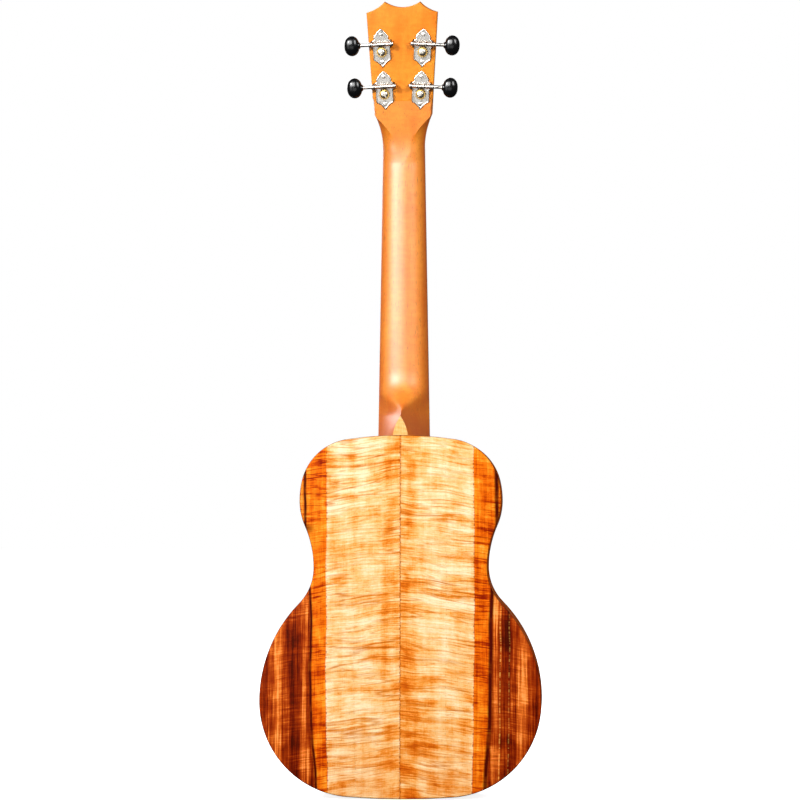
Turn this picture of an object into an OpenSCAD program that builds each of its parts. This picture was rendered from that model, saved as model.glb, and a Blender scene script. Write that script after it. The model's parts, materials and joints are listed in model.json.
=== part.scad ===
// Tenor ukulele, 17 inch scale, fourteen frets to the body, with four open geared tuners.
// The instrument stands upright: +Z runs from tail to headstock, the strings face -Y, the back faces +Y.
// The origin is under the middle of the body, level with the tail.

/* [Sound box] */
// Length of the body from tail to heel
body_length = 299; // [290:1:310]
// Width across the lower bout
lower_bout_w = 232.6; // [224:0.2:240]
// Width across the waist
waist_w = 143.4; // [138:0.2:148]
// Width across the upper bout
upper_bout_w = 166.8; // [162:0.2:170]
// Depth at the tail
depth_tail = 70; // [66:1:76]
// Depth at the heel
depth_heel = 62; // [58:1:64]
// Thickness of the soundboard
top_t = 2.2; // [1.8:0.1:2.6]
// Thickness of the back
back_t = 2; // [1.6:0.1:2.4]
// Thickness of the bent sides
side_t = 1.9; // [1.6:0.1:2.2]
// Diameter of the sound hole
sound_hole_d = 62; // [58:1:66]

/* [Strings and fretboard] */
// Nut to saddle
scale_length = 432; // [431:1:433]
// Frets on the board
fret_count = 19; // [17:1:19]
// Width of the neck at the nut
nut_w = 35.5; // [35:0.5:37]
// Width of the neck where it meets the body
neck_joint_w = 43.5; // [42:0.5:45]
// Thickness of the fretboard
board_t = 5; // [4.5:0.5:5.5]
// String spacing at the nut
nut_spacing = 9; // [8.6:0.1:9.4]
// String spacing at the saddle
saddle_spacing = 14; // [13:0.5:14.5]

/* [Neck and headstock] */
// Thickness of the neck wood behind the nut
neck_t = 13; // [12.5:0.5:13.5]
// Backward tilt of the headstock
head_angle = 12; // [10:0.5:13]
// Length of the headstock from the nut to its points
head_length = 123.6; // [122:0.2:125]
// Thickness of the headstock wood
head_t = 13; // [12.5:0.5:13.5]
// Thickness of the face veneer
veneer_t = 1.6; // [1.2:0.2:2]

/* [Tuners] */
// Distance between the worm's axis and the post's
gear_centres = 6.6; // [6.5:0.1:6.8]
// Radius of the worm at its pitch line
worm_pitch_r = 2.3; // [2.2:0.05:2.4]
// Lean of each tuner plate, which follows the taper of the headstock
splay = 3; // [2:0.5:4]
// Width of a button across its oval
button_w = 16.9; // [15:0.1:17]
// Length of a button along its shaft
button_l = 12.7; // [12:0.1:13]
// Thickness of a button
button_t = 9; // [8:0.5:10]

/* [Hidden] */
$fn = 48;
eps = 0.01;
LETTERS = ["g", "c", "e", "a"];

koa = "sandybrown";
mahogany = "peru";
ebony = [0.13, 0.1, 0.09];
spruce = "wheat";
nickel = "silver";
brass = "darkkhaki";
bone = "ivory";

// Places along Z and Y
front_y = -30;                              // outer face of the soundboard, and the neck's gluing plane
z_joint = body_length;
z_14th = scale_length * (1 - pow(2, -14 / 12));
z_nut = z_joint + z_14th;                   // fretboard end of the nut
nut_len = 5;
z_head = z_nut + nut_len;                   // where the headstock starts to tilt
z_saddle = z_nut - scale_length - 1.5;      // with 1.5 mm of compensation
z_hole = 194;                               // centre of the sound hole
z_board_end = z_nut - scale_length * (1 - pow(2, -19.45 / 12));

// ---------- Outline of the body: a chain of tangent arcs, from the tail's middle to the heel's ----------
half_low = lower_bout_w / 2;
half_waist = waist_w / 2;
half_up = upper_bout_w / 2;
z_low = 80;                                  // heights of the widest and narrowest places
z_waist = 189.5;
z_up = 245;
r_corner = 78.6;                            // lower bout below its widest place
r_hip = 115;                                // lower bout above it
r_chest = 52;                               // upper bout below its widest place
r_side = 75;                                // upper bout above it
side_turn = 12;                             // how far that arc turns before the shoulder
r_shoulder = 45;
c_corner = [half_low - r_corner, z_low];
c_hip = [half_low - r_hip, z_low];
c_chest = [half_up - r_chest, z_up];
c_side = [half_up - r_side, z_up];
c_shoulder = c_side + (r_side - r_shoulder) * [cos(side_turn), sin(side_turn)];

// Radius of the end arc that crosses the centre line at a given distance from a corner arc's centre
function end_radius(x, r, reach) = (x * x / (reach - r) + r + reach) / 2;
// Radius of the waist arc that touches the outside of a bout arc
function waist_radius(c, r) =
    (pow(half_waist - c.x, 2) + pow(z_waist - c.y, 2) - r * r) / (2 * (r - half_waist + c.x));

r_tail = end_radius(c_corner.x, r_corner, z_low);
r_heel = end_radius(c_shoulder.x, r_shoulder, body_length - c_shoulder.y);
r_waist_low = waist_radius(c_hip, r_hip);
r_waist_up = waist_radius(c_chest, r_chest);
c_waist_low = [half_waist + r_waist_low, z_waist];
c_waist_up = [half_waist + r_waist_up, z_waist];

function heading(a, b) = atan2(b.y - a.y, b.x - a.x);
// Points of an arc, without its last one, so that the next arc can follow
function arc(c, r, a0, a1, step = 4) =
    let (n = max(1, ceil(abs(a1 - a0) / step)))
    [for (i = [0 : n - 1]) let (a = a0 + (a1 - a0) * i / n) c + r * [cos(a), sin(a)]];
function mirrored(half) =
    concat(half, [for (i = [len(half) - 1 : -1 : 0]) if (half[i].x > eps) [-half[i].x, half[i].y]]);
// A shallow curve from p to q that stands off the straight line by bulge, to its left
function bow(p, q, bulge, n = 8) =
    let (d = q - p, side = [-d.y, d.x] / norm(d))
    [for (i = [0 : n - 1]) let (t = i / n) p + d * t + side * bulge * 4 * t * (1 - t)];

a_tail = heading([0, r_tail], c_corner);
a_hip = heading(c_hip, c_waist_low);
a_chest = heading(c_chest, c_waist_up);
a_heel = heading([0, body_length - r_heel], c_shoulder);

function body_outline(inset) = mirrored(concat(
    arc([0, r_tail], r_tail - inset, -90, a_tail),
    arc(c_corner, r_corner - inset, a_tail, 0),
    arc(c_hip, r_hip - inset, 0, a_hip),
    arc(c_waist_low, r_waist_low + inset, a_hip + 180, 180),
    arc(c_waist_up, r_waist_up + inset, 180, 180 + a_chest),
    arc(c_chest, r_chest - inset, a_chest, 0),
    arc(c_side, r_side - inset, 0, side_turn),
    arc(c_shoulder, r_shoulder - inset, side_turn, a_heel),
    arc([0, body_length - r_heel], r_heel - inset, a_heel, 90),
    [[0, body_length - inset]]));

// ---------- Helpers for the sound box ----------
wide = 150;                                 // past the body on either side
// Distance in Y of the back's plane at height z, d below its outer face
function back_y(z, d = 0) = front_y + depth_tail - (depth_tail - depth_heel) * z / body_length - d;

module body_prism(inset) {
    translate([0, front_y + depth_tail + 5, 0]) rotate([90, 0, 0])
        linear_extrude(depth_tail + 10) polygon(body_outline(inset));
}

// Extrudes an outline of [y, z] points from x0 to x1
module along_x(x0, x1, points) {
    translate([x0, 0, 0]) rotate([90, 0, 90]) linear_extrude(x1 - x0) polygon(points);
}

// The space from front_y + d0 to the plane d1 inside the back's outer face
module between(x0, x1, d0, d1) {
    z1 = body_length + 20;
    along_x(x0, x1, [[front_y + d0, -1], [back_y(-1, d1), -1], [back_y(z1, d1), z1], [front_y + d0, z1]]);
}

// A layer against the back, from d0 to d1 inside its outer face, between two heights
module back_layer(x0, x1, d0, d1, z0, z1) {
    along_x(x0, x1, [[back_y(z0, d1), z0], [back_y(z0, d0), z0], [back_y(z1, d0), z1], [back_y(z1, d1), z1]]);
}

// A block of the given corners, with Y measured inward from the soundboard's outer face
module block(x0, x1, d0, d1, z0, z1) {
    translate([x0, front_y + d0, z0]) cube([x1 - x0, d1 - d0, z1 - z0]);
}

module round_along_y(r, d0, d1, x, z) {
    translate([x, front_y + d1, z]) rotate([90, 0, 0]) cylinder(r = r, h = d1 - d0);
}

// ---------- Sound box ----------
rosette_in = sound_hole_d / 2 + 2.5;
rosette_out = rosette_in + 4;
rosette_t = 1;
lining_w = 6;
lining_h = 13;
neck_block = [60, 24];                      // width and length
tail_block = [56, 15];
brace_w = 6;

module soundboard(side) {
    color(koa) difference() {
        intersection() {
            body_prism(0);
            block(side < 0 ? -wide : 0, side < 0 ? 0 : wide, 0, top_t, -1, body_length + 1);
        }
        round_along_y(sound_hole_d / 2, -1, top_t + 1, 0, z_hole);
        difference() {
            round_along_y(rosette_out, -1, rosette_t, 0, z_hole);
            round_along_y(rosette_in, -2, rosette_t + 1, 0, z_hole);
        }
    }
}

module rosette() {
    color("saddlebrown") difference() {
        round_along_y(rosette_out, 0, rosette_t, 0, z_hole);
        round_along_y(rosette_in, -1, rosette_t + 1, 0, z_hole);
    }
}

module back(side) {
    color(koa) intersection() {
        body_prism(0);
        back_layer(side < 0 ? -wide : 0, side < 0 ? 0 : wide, 0, back_t, -1, body_length + 1);
    }
}

module side_rib(side) {
    color(koa) intersection() {
        difference() {
            body_prism(0);
            scale([1, 1.5, 1]) body_prism(side_t);
        }
        between(side < 0 ? -wide : 0, side < 0 ? 0 : wide, top_t, back_t);
    }
}

// The end blocks fill the body's ends between the plates
module neck_block() {
    color(mahogany) intersection() {
        body_prism(side_t);
        between(-neck_block.x / 2, neck_block.x / 2, top_t, back_t);
        block(-wide, wide, 0, depth_tail, body_length - neck_block.y, body_length);
    }
}

module tail_block() {
    color(mahogany) intersection() {
        body_prism(side_t);
        between(-tail_block.x / 2, tail_block.x / 2, top_t, back_t);
        block(-wide, wide, 0, depth_tail, 0, tail_block.y);
    }
}

module lining_ring() {
    difference() {
        body_prism(side_t);
        scale([1, 1.5, 1]) body_prism(side_t + lining_w);
        block(-neck_block.x / 2, neck_block.x / 2, -9, 99, body_length - neck_block.y, body_length + 1);
        block(-tail_block.x / 2, tail_block.x / 2, -9, 99, -1, tail_block.y);
    }
}

module top_linings() {
    color(spruce) intersection() {
        lining_ring();
        block(-wide, wide, top_t, top_t + lining_h, -1, body_length + 1);
    }
}

module back_linings() {
    color(spruce) intersection() {
        lining_ring();
        back_layer(-wide, wide, back_t, back_t + lining_h, -1, body_length + 1);
    }
}

// Two bars cross under the soundboard, and three fans run from the lower bar to the tail block
upper_bar_z = 236;
lower_bar_z = 152;
plate_h = [90, 2.4, 26];                    // bridge plate: width, thickness, length
plate_z = z_saddle - 17;
fan_spread = 26;

module bridge_plate() {
    color(spruce) block(-plate_h.x / 2, plate_h.x / 2, top_t, top_t + plate_h.y, plate_z, plate_z + plate_h.z);
}

module top_braces() {
    bar_h = 9;
    fan_h = 6;
    color(spruce) intersection() {
        body_prism(side_t + lining_w);
        union() {
            for (z = [upper_bar_z, lower_bar_z])
                block(-wide, wide, top_t, top_t + bar_h, z - brace_w / 2, z + brace_w / 2);
            for (i = [-1 : 1]) difference() {
                block(i * fan_spread - 2.5, i * fan_spread + 2.5, top_t, top_t + fan_h,
                    tail_block.y, lower_bar_z - brace_w / 2 - 1);
                bridge_plate();
            }
        }
    }
}

back_bars = [66, 148, 232];
module back_braces() {
    bar_h = 10;
    color(spruce) intersection() {
        body_prism(side_t + lining_w);
        for (z = back_bars)
            back_layer(-wide, wide, back_t, back_t + bar_h, z - brace_w / 2, z + brace_w / 2);
    }
}

module back_centre_strip() {
    strip_w = 14;
    strip_t = 2;
    edges = concat(tail_block.y, back_bars, body_length - neck_block.y);
    color(spruce) for (i = [0 : len(edges) - 2]) {
        z0 = edges[i] + (i == 0 ? 0 : brace_w / 2);
        z1 = edges[i + 1] - (i == len(edges) - 2 ? 0 : brace_w / 2);
        back_layer(-strip_w / 2, strip_w / 2, back_t, back_t + strip_t, z0, z1);
    }
}

// ---------- Bridge ----------
bridge_w = 82;
tie_w = 62;
bridge_z = z_saddle - 14.5;                 // tail end of the bridge
saddle_size = [68, 7.6, 3];                 // width, height, thickness
saddle_h = 10.6;                            // top of the saddle above the soundboard
hole_h = 5;                                 // height of the string holes above the soundboard
tie_len = 9;

function string_x(i, spacing) = (i - 1.5) * spacing;
string_r = [0.36, 0.48, 0.41, 0.33];

module bridge() {
    // Profile of the middle: tie block, trough, saddle land, front slope, as [distance from the tail end, height]
    profile = [[0, 0], [22, 0], [22, 3.4], [18.5, 7], [12, 7], [12, 4], [tie_len, 4], [tie_len, 8.4],
        [0.8, 8.4], [0, 7.6]];
    color(ebony) difference() {
        union() {
            along_x(-tie_w / 2, tie_w / 2, [for (p = profile) [front_y - p.y, bridge_z + p.x]]);
            for (s = [-1, 1]) along_x(s < 0 ? -bridge_w / 2 : tie_w / 2, s < 0 ? -tie_w / 2 : bridge_w / 2,
                [[front_y, bridge_z], [front_y, bridge_z + 22], [front_y - 2.6, bridge_z + 22],
                    [front_y - 3.4, bridge_z + 20], [front_y - 3.4, bridge_z + 2], [front_y - 2.6, bridge_z]]);
        }
        block(-saddle_size.x / 2, saddle_size.x / 2, -saddle_h, saddle_size.y - saddle_h,
            z_saddle - saddle_size.z / 2, z_saddle + saddle_size.z / 2);
        for (i = [0 : 3]) translate([string_x(i, saddle_spacing), front_y - hole_h, bridge_z - 1])
            cylinder(r = 0.9, h = tie_len + 2);
    }
}

module saddle() {
    top = 0.8;                              // the rounded crown
    z0 = z_saddle - saddle_size.z / 2;
    crown = bow([front_y - saddle_h + top, z0], [front_y - saddle_h + top, z0 + saddle_size.z], top, 6);
    color(bone) along_x(-saddle_size.x / 2, saddle_size.x / 2,
        concat(crown, [[front_y - saddle_h + top, z0 + saddle_size.z],
            [front_y - saddle_h + saddle_size.y, z0 + saddle_size.z],
            [front_y - saddle_h + saddle_size.y, z0]]));
}

// ---------- Neck and headstock ----------
function board_half(z) = (nut_w + (neck_joint_w - nut_w) * (z_nut - z) / z_14th) / 2;

head_corner_z = 29;                         // where the flare meets the straight edges
head_corner_x = 24.4;
head_shoulder = [29.8, 114.8];
head_point = [14.9, head_length];
valley = 4.7;
function head_half(z) = z < head_corner_z
    ? nut_w / 2 + (head_corner_x - nut_w / 2) * pow(max(0, z) / head_corner_z, 2)
    : head_corner_x + (head_shoulder.x - head_corner_x) * (z - head_corner_z) / (head_shoulder.y - head_corner_z);

head_outline = mirrored(concat(
    [for (z = [0 : 3 : head_corner_z - 1]) [head_half(z), z]],
    [[head_corner_x, head_corner_z]],
    bow(head_shoulder, head_point, 1.3),
    [for (p = bow(head_point, [-head_point.x, head_point.y], valley, 12)) if (p.x > -eps) p]));

module head_frame() {
    translate([0, front_y, z_head]) rotate([-head_angle, 0, 0]) children();
}

// Extrudes an outline of [x, z] points from y0 to y1
module along_y(y0, y1) {
    translate([0, y1, 0]) rotate([90, 0, 0]) linear_extrude(y1 - y0) children();
}

// Everything above the slanted scarf joint, in the headstock's own frame
scarf_front = 12;
scarf_back = 41;
module above_scarf() {
    slope = (scarf_back - scarf_front) / head_t;
    along_x(-60, 60, [[-30, scarf_front - 30 * slope], [head_t + 30, scarf_back + 30 * slope],
        [head_t + 30, 300], [-30, 300]]);
}

// Depth of the heel's spine: a quarter ellipse from the neck down to the cap's point
heel_run = 35;
cap_length = 16;
cap_w = 12.6;
cap_t = 2.5;
heel_full = depth_heel - cap_t - 0.4;
shaft_t = 15.5;                             // neck wood above the heel
z_point = z_joint + cap_length;
z_shaft = z_point + heel_run;
function spine(z) = z <= z_point ? heel_full
    : z < z_shaft ? heel_full - (heel_full - shaft_t) * sqrt(1 - pow((z_shaft - z) / heel_run, 2))
    : shaft_t + (neck_t - shaft_t) * (z - z_shaft) / (z_head - z_shaft);

// A station holds [tilt, distance along its own axis, half width, depth, flat share, lean, heel share, cap share].
// The section is an arc that meets a flat on the back, lean degrees short of a smooth join, and on the heel it
// is a concave wedge down to the cap.
least = 0.02;
function cap_half(z) = cap_w / 2 * sqrt(max(0, 1 - (z - z_joint) / cap_length));
function shaft_station(z) =
    let (heel = max(0, min(1, (z_shaft + 6 - z) / (heel_run + 6))), w = board_half(z))
    [0, z, w, spine(z), least, 0, heel, max(least, cap_half(z) / w)];
// On the flare the flat widens from the neck's middle to the corners, where it is all there is
flat_start = 6.3;
flat_end = 23.9;
corner_lean = 34;
function head_station(z) =
    let (t = min(1, z / head_corner_z), w = head_half(z), flat = flat_start + (flat_end - flat_start) * pow(t, 1.9))
    [head_angle, z, w, head_t, z < head_corner_z ? flat / w : 0.999, corner_lean * t, 0, least];
stations = concat(
    [for (z = [z_joint - 3, z_joint + 1, z_joint + 6, z_joint + 11]) shaft_station(z)],
    [for (i = [0 : 9]) shaft_station(z_point + heel_run * (1 - cos(10 * i)))],
    [for (i = [0 : 5]) shaft_station(z_shaft + (z_nut - 3 - z_shaft) * i / 5)],
    [for (z = [2 : 4.5 : 46]) head_station(z)]);
loft_n = 10;
function station_point(s, side, u) =
    let (top = 90 - s[5], t = sin(top * u) / sin(top),
        round = s[4] + (1 - s[4]) * (cos(top * u) - cos(top)) / (1 - cos(top)),
        wedge = s[7] + (1 - s[7]) * pow(1 - t, 1.7),
        x = side * s[2] * ((1 - s[6]) * round + s[6] * wedge), y = s[3] * t)
    s[0] == 0 ? [x, front_y + y, s[1]]
        : [x, front_y + y * cos(head_angle) + s[1] * sin(head_angle),
            z_head - y * sin(head_angle) + s[1] * cos(head_angle)];
function ring(s) = concat([for (i = [0 : loft_n]) station_point(s, 1, i / loft_n)],
    [for (i = [loft_n : -1 : 0]) station_point(s, -1, i / loft_n)]);
// A skin over rings of equal length, closed by a cap at each end
function skin_faces(rings, m) = concat(
    [for (k = [0 : rings - 2]) for (i = [0 : m - 1]) let (j = (i + 1) % m)
        each [[k * m + i, (k + 1) * m + j, k * m + j], [k * m + i, (k + 1) * m + i, (k + 1) * m + j]]],
    [[for (i = [0 : m - 1]) i], [for (i = [m - 1 : -1 : 0]) (rings - 1) * m + i]]);

module neck() {
    color(mahogany) difference() {
        polyhedron([for (s = stations) each ring(s)], skin_faces(len(stations), 2 * loft_n + 2));
        body_prism(0);
        head_frame() above_scarf();
        head_frame() tuner_holes();
    }
}

module heel_cap() {
    arch = mirrored(concat([[cap_w / 2, z_joint - 3]], bow([cap_w / 2, z_joint], [0, z_point], -1.4),
        [[0, z_point]]));
    color(koa) difference() {
        intersection() {
            translate([0, 99, 0]) rotate([90, 0, 0]) linear_extrude(99) polygon(arch);
            back_layer(-20, 20, 0, cap_t, z_joint - 4, z_point + 1);
        }
        body_prism(0);
    }
}

module tuner_holes() {
    for (i = [0 : 3]) at_tuner_in_head(i) {
        rotate([90, 0, 0]) translate([0, 0, -1]) cylinder(r = post_hole_r, h = head_t + 2);
        for (z = screw_z) translate([0, 1, z]) rotate([90, 0, 0]) cylinder(r = screw_r, h = screw_len + 1.5);
    }
}

module headstock() {
    color(mahogany) head_frame() difference() {
        intersection() {
            along_y(0, head_t) polygon(head_outline);
            above_scarf();
        }
        tuner_holes();
    }
}

module head_veneer() {
    color(ebony) head_frame() difference() {
        along_y(-veneer_t, 0) polygon(head_outline);
        for (i = [0 : 3]) at_tuner_in_head(i)
            rotate([90, 0, 0]) cylinder(r = post_hole_r, h = head_t + veneer_t + 1);
    }
}

nut_h = board_t + 1.6;
module nut() {
    color(bone) block(-nut_w / 2, nut_w / 2, -nut_h, 0, z_nut, z_head);
}

// ---------- Fretboard ----------
function fret_z(n) = z_nut - scale_length * (1 - pow(2, -n / 12));
fret_slot = [0.6, 1.6];                     // width and depth
fret_crown = [2.2, 1];                      // width and height

module fretboard() {
    color(ebony) difference() {
        translate([0, front_y, 0]) rotate([90, 0, 0]) linear_extrude(board_t) polygon([
            [board_half(z_nut), z_nut], [board_half(z_board_end), z_board_end],
            [-board_half(z_board_end), z_board_end], [-board_half(z_nut), z_nut]]);
        for (n = [1 : fret_count])
            block(-wide, wide, -board_t - 1, -board_t + fret_slot.y, fret_z(n) - fret_slot.x / 2,
                fret_z(n) + fret_slot.x / 2);
        dots(board_t + 1);
    }
}

module frets() {
    crown = bow([front_y - board_t, fret_crown.x / 2], [front_y - board_t, -fret_crown.x / 2], -fret_crown.y, 8);
    tang = [[front_y - board_t, -fret_crown.x / 2], [front_y - board_t, -fret_slot.x / 2],
        [front_y - board_t + fret_slot.y, -fret_slot.x / 2], [front_y - board_t + fret_slot.y, fret_slot.x / 2],
        [front_y - board_t, fret_slot.x / 2]];
    color(nickel) for (n = [1 : fret_count]) {
        half = board_half(fret_z(n)) - 0.3;
        translate([0, 0, fret_z(n)]) along_x(-half, half, concat(crown, tang));
    }
}

// Face dots, two at the octave, and side dots on the bass edge, from the board's top down to dot_t
dot_t = 1.4;
dot_r = 2.6;
function between_frets(n) = (fret_z(n) + fret_z(n - 1)) / 2;
face_dots = [[0, 5], [0, 7], [0, 10], [-8, 12], [8, 12], [0, 15]];
side_dots = [5, 7, 10, 12, 15];
module dots(top) {
    for (d = face_dots) round_along_y(dot_r, -top, dot_t - board_t, d.x, between_frets(d.y));
    for (n = side_dots) {
        z = between_frets(n);
        translate([-board_half(z) - (top - board_t) * 0.2, front_y - board_t / 2, z]) rotate([0, 90, 0])
            cylinder(r = 1, h = 1.5 + (top - board_t) * 0.2);
    }
}

module position_dots() {
    color(bone) dots(board_t);
}

// ---------- Tuners ----------
// Each tuner's own frame: origin on the post's axis at the back of the headstock, X out along the worm
// towards the button, Y out of the headstock's back, Z up the headstock. The bass side is its mirror image.
tuner_side = [-1, -1, 1, 1];
tuner_x = [15.2, 17.1, 17.1, 15.2];
tuner_z = [47, 82.3, 82.3, 47];
module at_tuner_in_head(i) {
    translate([tuner_side[i] * tuner_x[i], head_t, tuner_z[i]]) rotate([0, tuner_side[i] * splay, 0])
        mirror([tuner_side[i] < 0 ? 1 : 0, 0, 0]) children();
}

module at_tuner(i) {
    head_frame() at_tuner_in_head(i) children();
}

post_r = 3;
running = 0.06;                             // radial clearance of a turning shaft
post_hole_r = 4;
screw_r = 1;
screw_len = 8;
screw_z = [14.6, -8.3];
plate_t = 0.9;
worm_y = 4.4;                               // height of the worm's axis above the wood
ear_x = 8.2;
ear_t = 1.2;
journal_r = 1.5;
wheel_t = 3;
seat_y = worm_y - wheel_t / 2;              // underside of the wheel
cap_y = worm_y + wheel_t / 2;               // its top
wheel_bore = 2;
front_face = -head_t - veneer_t;            // face of the veneer, in the tuner's frame

// Plate outline from its lower point to its upper one
plate_outline = mirrored(concat(
    [[0, -13.2], [1.3, -11.6]],
    bow([2.2, -10.6], [6.6, -7.4], -0.5),
    [[6.6, -7.4], [7.3, -6.2], [7.3, 1.6], [6.9, 3.1], [9.1, 4.4], [9.1, 8.8], [7.4, 9.6], [6, 10.4], [6.4, 12]],
    bow([6.2, 12.8], [0, 19.5], 0.5),
    [[0, 19.5]]));

module tuner_plate(i) {
    color(nickel) at_tuner(i) difference() {
        union() {
            along_y(0, plate_t) polygon(plate_outline);
            for (s = [-1, 1]) translate([s * ear_x - ear_t / 2, 0, gear_centres]) rotate([0, 90, 0]) {
                translate([0, worm_y, 0]) cylinder(r = 2.9, h = ear_t);
                translate([-2.9, 0, 0]) cube([5.8, worm_y, ear_t]);
            }
        }
        rotate([90, 0, 0]) translate([0, 0, -plate_t - 1]) cylinder(r = post_r + running, h = plate_t + 2);
        translate([-15, worm_y, gear_centres]) rotate([0, 90, 0]) cylinder(r = journal_r + running, h = 30);
        for (z = screw_z) translate([0, plate_t + 1, z]) rotate([90, 0, 0]) cylinder(r = screw_r + 0.1, h = 5);
    }
}

module plate_screws() {
    color(nickel) for (i = [0 : 3]) at_tuner(i) for (z = screw_z) translate([0, -screw_len, z]) rotate([-90, 0, 0])
        difference() {
            rotate_extrude() polygon([[0, 0], [screw_r, 1.5], [screw_r, screw_len + plate_t],
                [1.8, screw_len + plate_t], [1.7, screw_len + plate_t + 0.6], [1, screw_len + plate_t + 1],
                [0, screw_len + plate_t + 1]]);
            translate([-3, -0.25, screw_len + plate_t + 0.5]) cube([6, 0.5, 2]);
        }
}

module post_bushings() {
    color(nickel) for (i = [0 : 3]) at_tuner(i) rotate([90, 0, 0]) difference() {
        union() {
            translate([0, 0, -front_face - 7]) cylinder(r = post_hole_r, h = 7);
            translate([0, 0, -front_face]) cylinder(r1 = 5.3, r2 = 4.8, h = 1.2);
        }
        translate([0, 0, -front_face - 8]) cylinder(r = post_r + running, h = 12);
    }
}

// Worm and wheel: a single-start worm with straight flanks, against teeth that lean by its lead angle
wheel_teeth = 14;
flank = 20;
addendum = 0.45;
dedendum = 0.58;
wheel_pitch_r = gear_centres - worm_pitch_r;
pitch = 2 * PI * wheel_pitch_r / wheel_teeth;
tooth_t = 0.4 * pitch;                      // on the pitch line, which leaves a fifth of the pitch as backlash
tip_half = tooth_t / 2 - addendum * tan(flank);
root_half = tooth_t / 2 + dedendum * tan(flank);
lead = atan(pitch / (2 * PI * worm_pitch_r));
worm_turns = 4;
worm_len = (worm_turns + 0.8) * pitch;
worm_root_r = worm_pitch_r - dedendum;
worm_tip_r = worm_pitch_r + addendum;
worm_cols = 20;                             // stations of the thread in one turn
// The thread is a ridge that rises out of the worm's core and runs out into it again
module worm_thread() {
    last = worm_turns * worm_cols;
    function rise(j) = min(1, j / 3, (last - j) / 3);
    rings = [for (j = [0 : last])
        let (a = 360 * (j / worm_cols - worm_turns / 2) - 90, s = pitch * (j / worm_cols - worm_turns / 2),
            low = worm_root_r - 0.3, top = low + 0.1 + (worm_tip_r - low - 0.1) * rise(j),
            foot = root_half + 0.3 * tan(flank), crest = foot - (top - low) * tan(flank))
        each [for (p = [[-foot, low], [foot, low], [crest, top], [-crest, top]])
            [s + p.x, p.y * cos(a), p.y * sin(a)]]];
    polyhedron(rings, skin_faces(last + 1, 4));
}

shaft_end = 21;
module worm_shaft(i) {
    core = ear_x - ear_t / 2 - 0.1;         // the ears' inner and outer faces, less their end play
    far = ear_x + ear_t / 2 + 0.1;
    color(nickel) at_tuner(i) translate([0, worm_y, gear_centres]) union() {
        worm_thread();
        rotate([0, 90, 0]) rotate_extrude() polygon([[0, -far - 1.1], [1.6, -far - 1.1], [2.1, -far - 0.6],
            [2.1, -far], [journal_r, -far], [journal_r, -core], [worm_root_r, -core], [worm_root_r, core],
            [journal_r, core], [journal_r, far], [2.4, far], [2.4, far + 1], [1.9, far + 1.6], [1.4, far + 1.6],
            [1.4, shaft_end], [0, shaft_end]]);
    }
}

button_start = 18.3;
module button(i) {
    color(ebony) at_tuner(i) translate([0, worm_y, gear_centres]) difference() {
        union() {
            translate([button_start + button_l / 2, 0, 0]) scale([button_l, button_t, button_w]) sphere(d = 1);
            rotate([0, 90, 0]) translate([0, 0, button_start - 1]) cylinder(r1 = 2.2, r2 = 2.9, h = 3);
        }
        rotate([0, 90, 0]) cylinder(r = 1.4, h = shaft_end);
    }
}

module worm_wheel(i) {
    root_r = wheel_pitch_r - dedendum;
    color(brass) at_tuner(i) difference() {
        union() {
            translate([0, cap_y, 0]) rotate([90, 0, 0]) cylinder(r = root_r, h = wheel_t);
            for (k = [0 : wheel_teeth - 1]) rotate([0, (k + 0.5) * 360 / wheel_teeth, 0])
                translate([0, worm_y, 0]) intersection() {
                    rotate([0, 0, -lead]) along_y(-wheel_t, wheel_t) polygon([
                        [-root_half, root_r - 0.4], [root_half, root_r - 0.4], [root_half, root_r],
                        [tip_half, wheel_pitch_r + addendum], [-tip_half, wheel_pitch_r + addendum],
                        [-root_half, root_r]]);
                    translate([-5, -wheel_t / 2, 0]) cube([10, wheel_t, 10]);
                }
        }
        translate([0, cap_y + 1, 0]) rotate([90, 0, 0]) cylinder(r = wheel_bore, h = wheel_t + 2);
    }
}

string_hole_y = front_face - 9.4;
waist_top = front_face - 2.6;               // the winding's end next to the headstock
module post(i) {
    tip = front_face - 13;
    color(nickel) at_tuner(i) difference() {
        rotate([90, 0, 0]) rotate_extrude() polygon([[0, -cap_y], [wheel_bore, -cap_y], [wheel_bore, -seat_y],
            [post_r, -seat_y], [post_r, -waist_top], [2.5, -waist_top + 1], [2.5, -waist_top + 4.6],
            [post_r, -waist_top + 5.6], [post_r, -tip - 0.7], [2.3, -tip], [0, -tip]]);
        translate([0, cap_y + 1, 0]) rotate([90, 0, 0]) cylinder(r = screw_r, h = wheel_t + 1);
        translate([-5, string_hole_y, 0]) rotate([0, 90, 0]) cylinder(r = 0.8, h = 10);
    }
}

module wheel_screw(i) {
    color(nickel) at_tuner(i) rotate([-90, 0, 0]) difference() {
        rotate_extrude() polygon([[0, seat_y + 0.2], [screw_r, seat_y + 0.2], [screw_r, cap_y], [3, cap_y],
            [2.8, cap_y + 0.9], [2, cap_y + 1.2], [0, cap_y + 1.2]]);
        translate([-4, -0.4, cap_y + 0.5]) cube([8, 0.8, 2]);
    }
}

// ---------- Strings ----------
// A tube through a list of points, with a ring at each one, square to the path there
tube_n = 8;
function unit(v) = v / norm(v);
function tangent(path, k) = unit((k > 0 ? unit(path[k] - path[k - 1]) : [0, 0, 0])
    + (k < len(path) - 1 ? unit(path[k + 1] - path[k]) : [0, 0, 0]));
function tube_points(path, r, up = [1, 0, 0]) = [for (k = [0 : len(path) - 1])
    let (t = tangent(path, k), u = unit(cross(up, t)), v = cross(t, u))
    each [for (i = [0 : tube_n - 1]) let (a = 360 * i / tube_n + 22.5) path[k] + r * (cos(a) * u + sin(a) * v)]];

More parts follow.
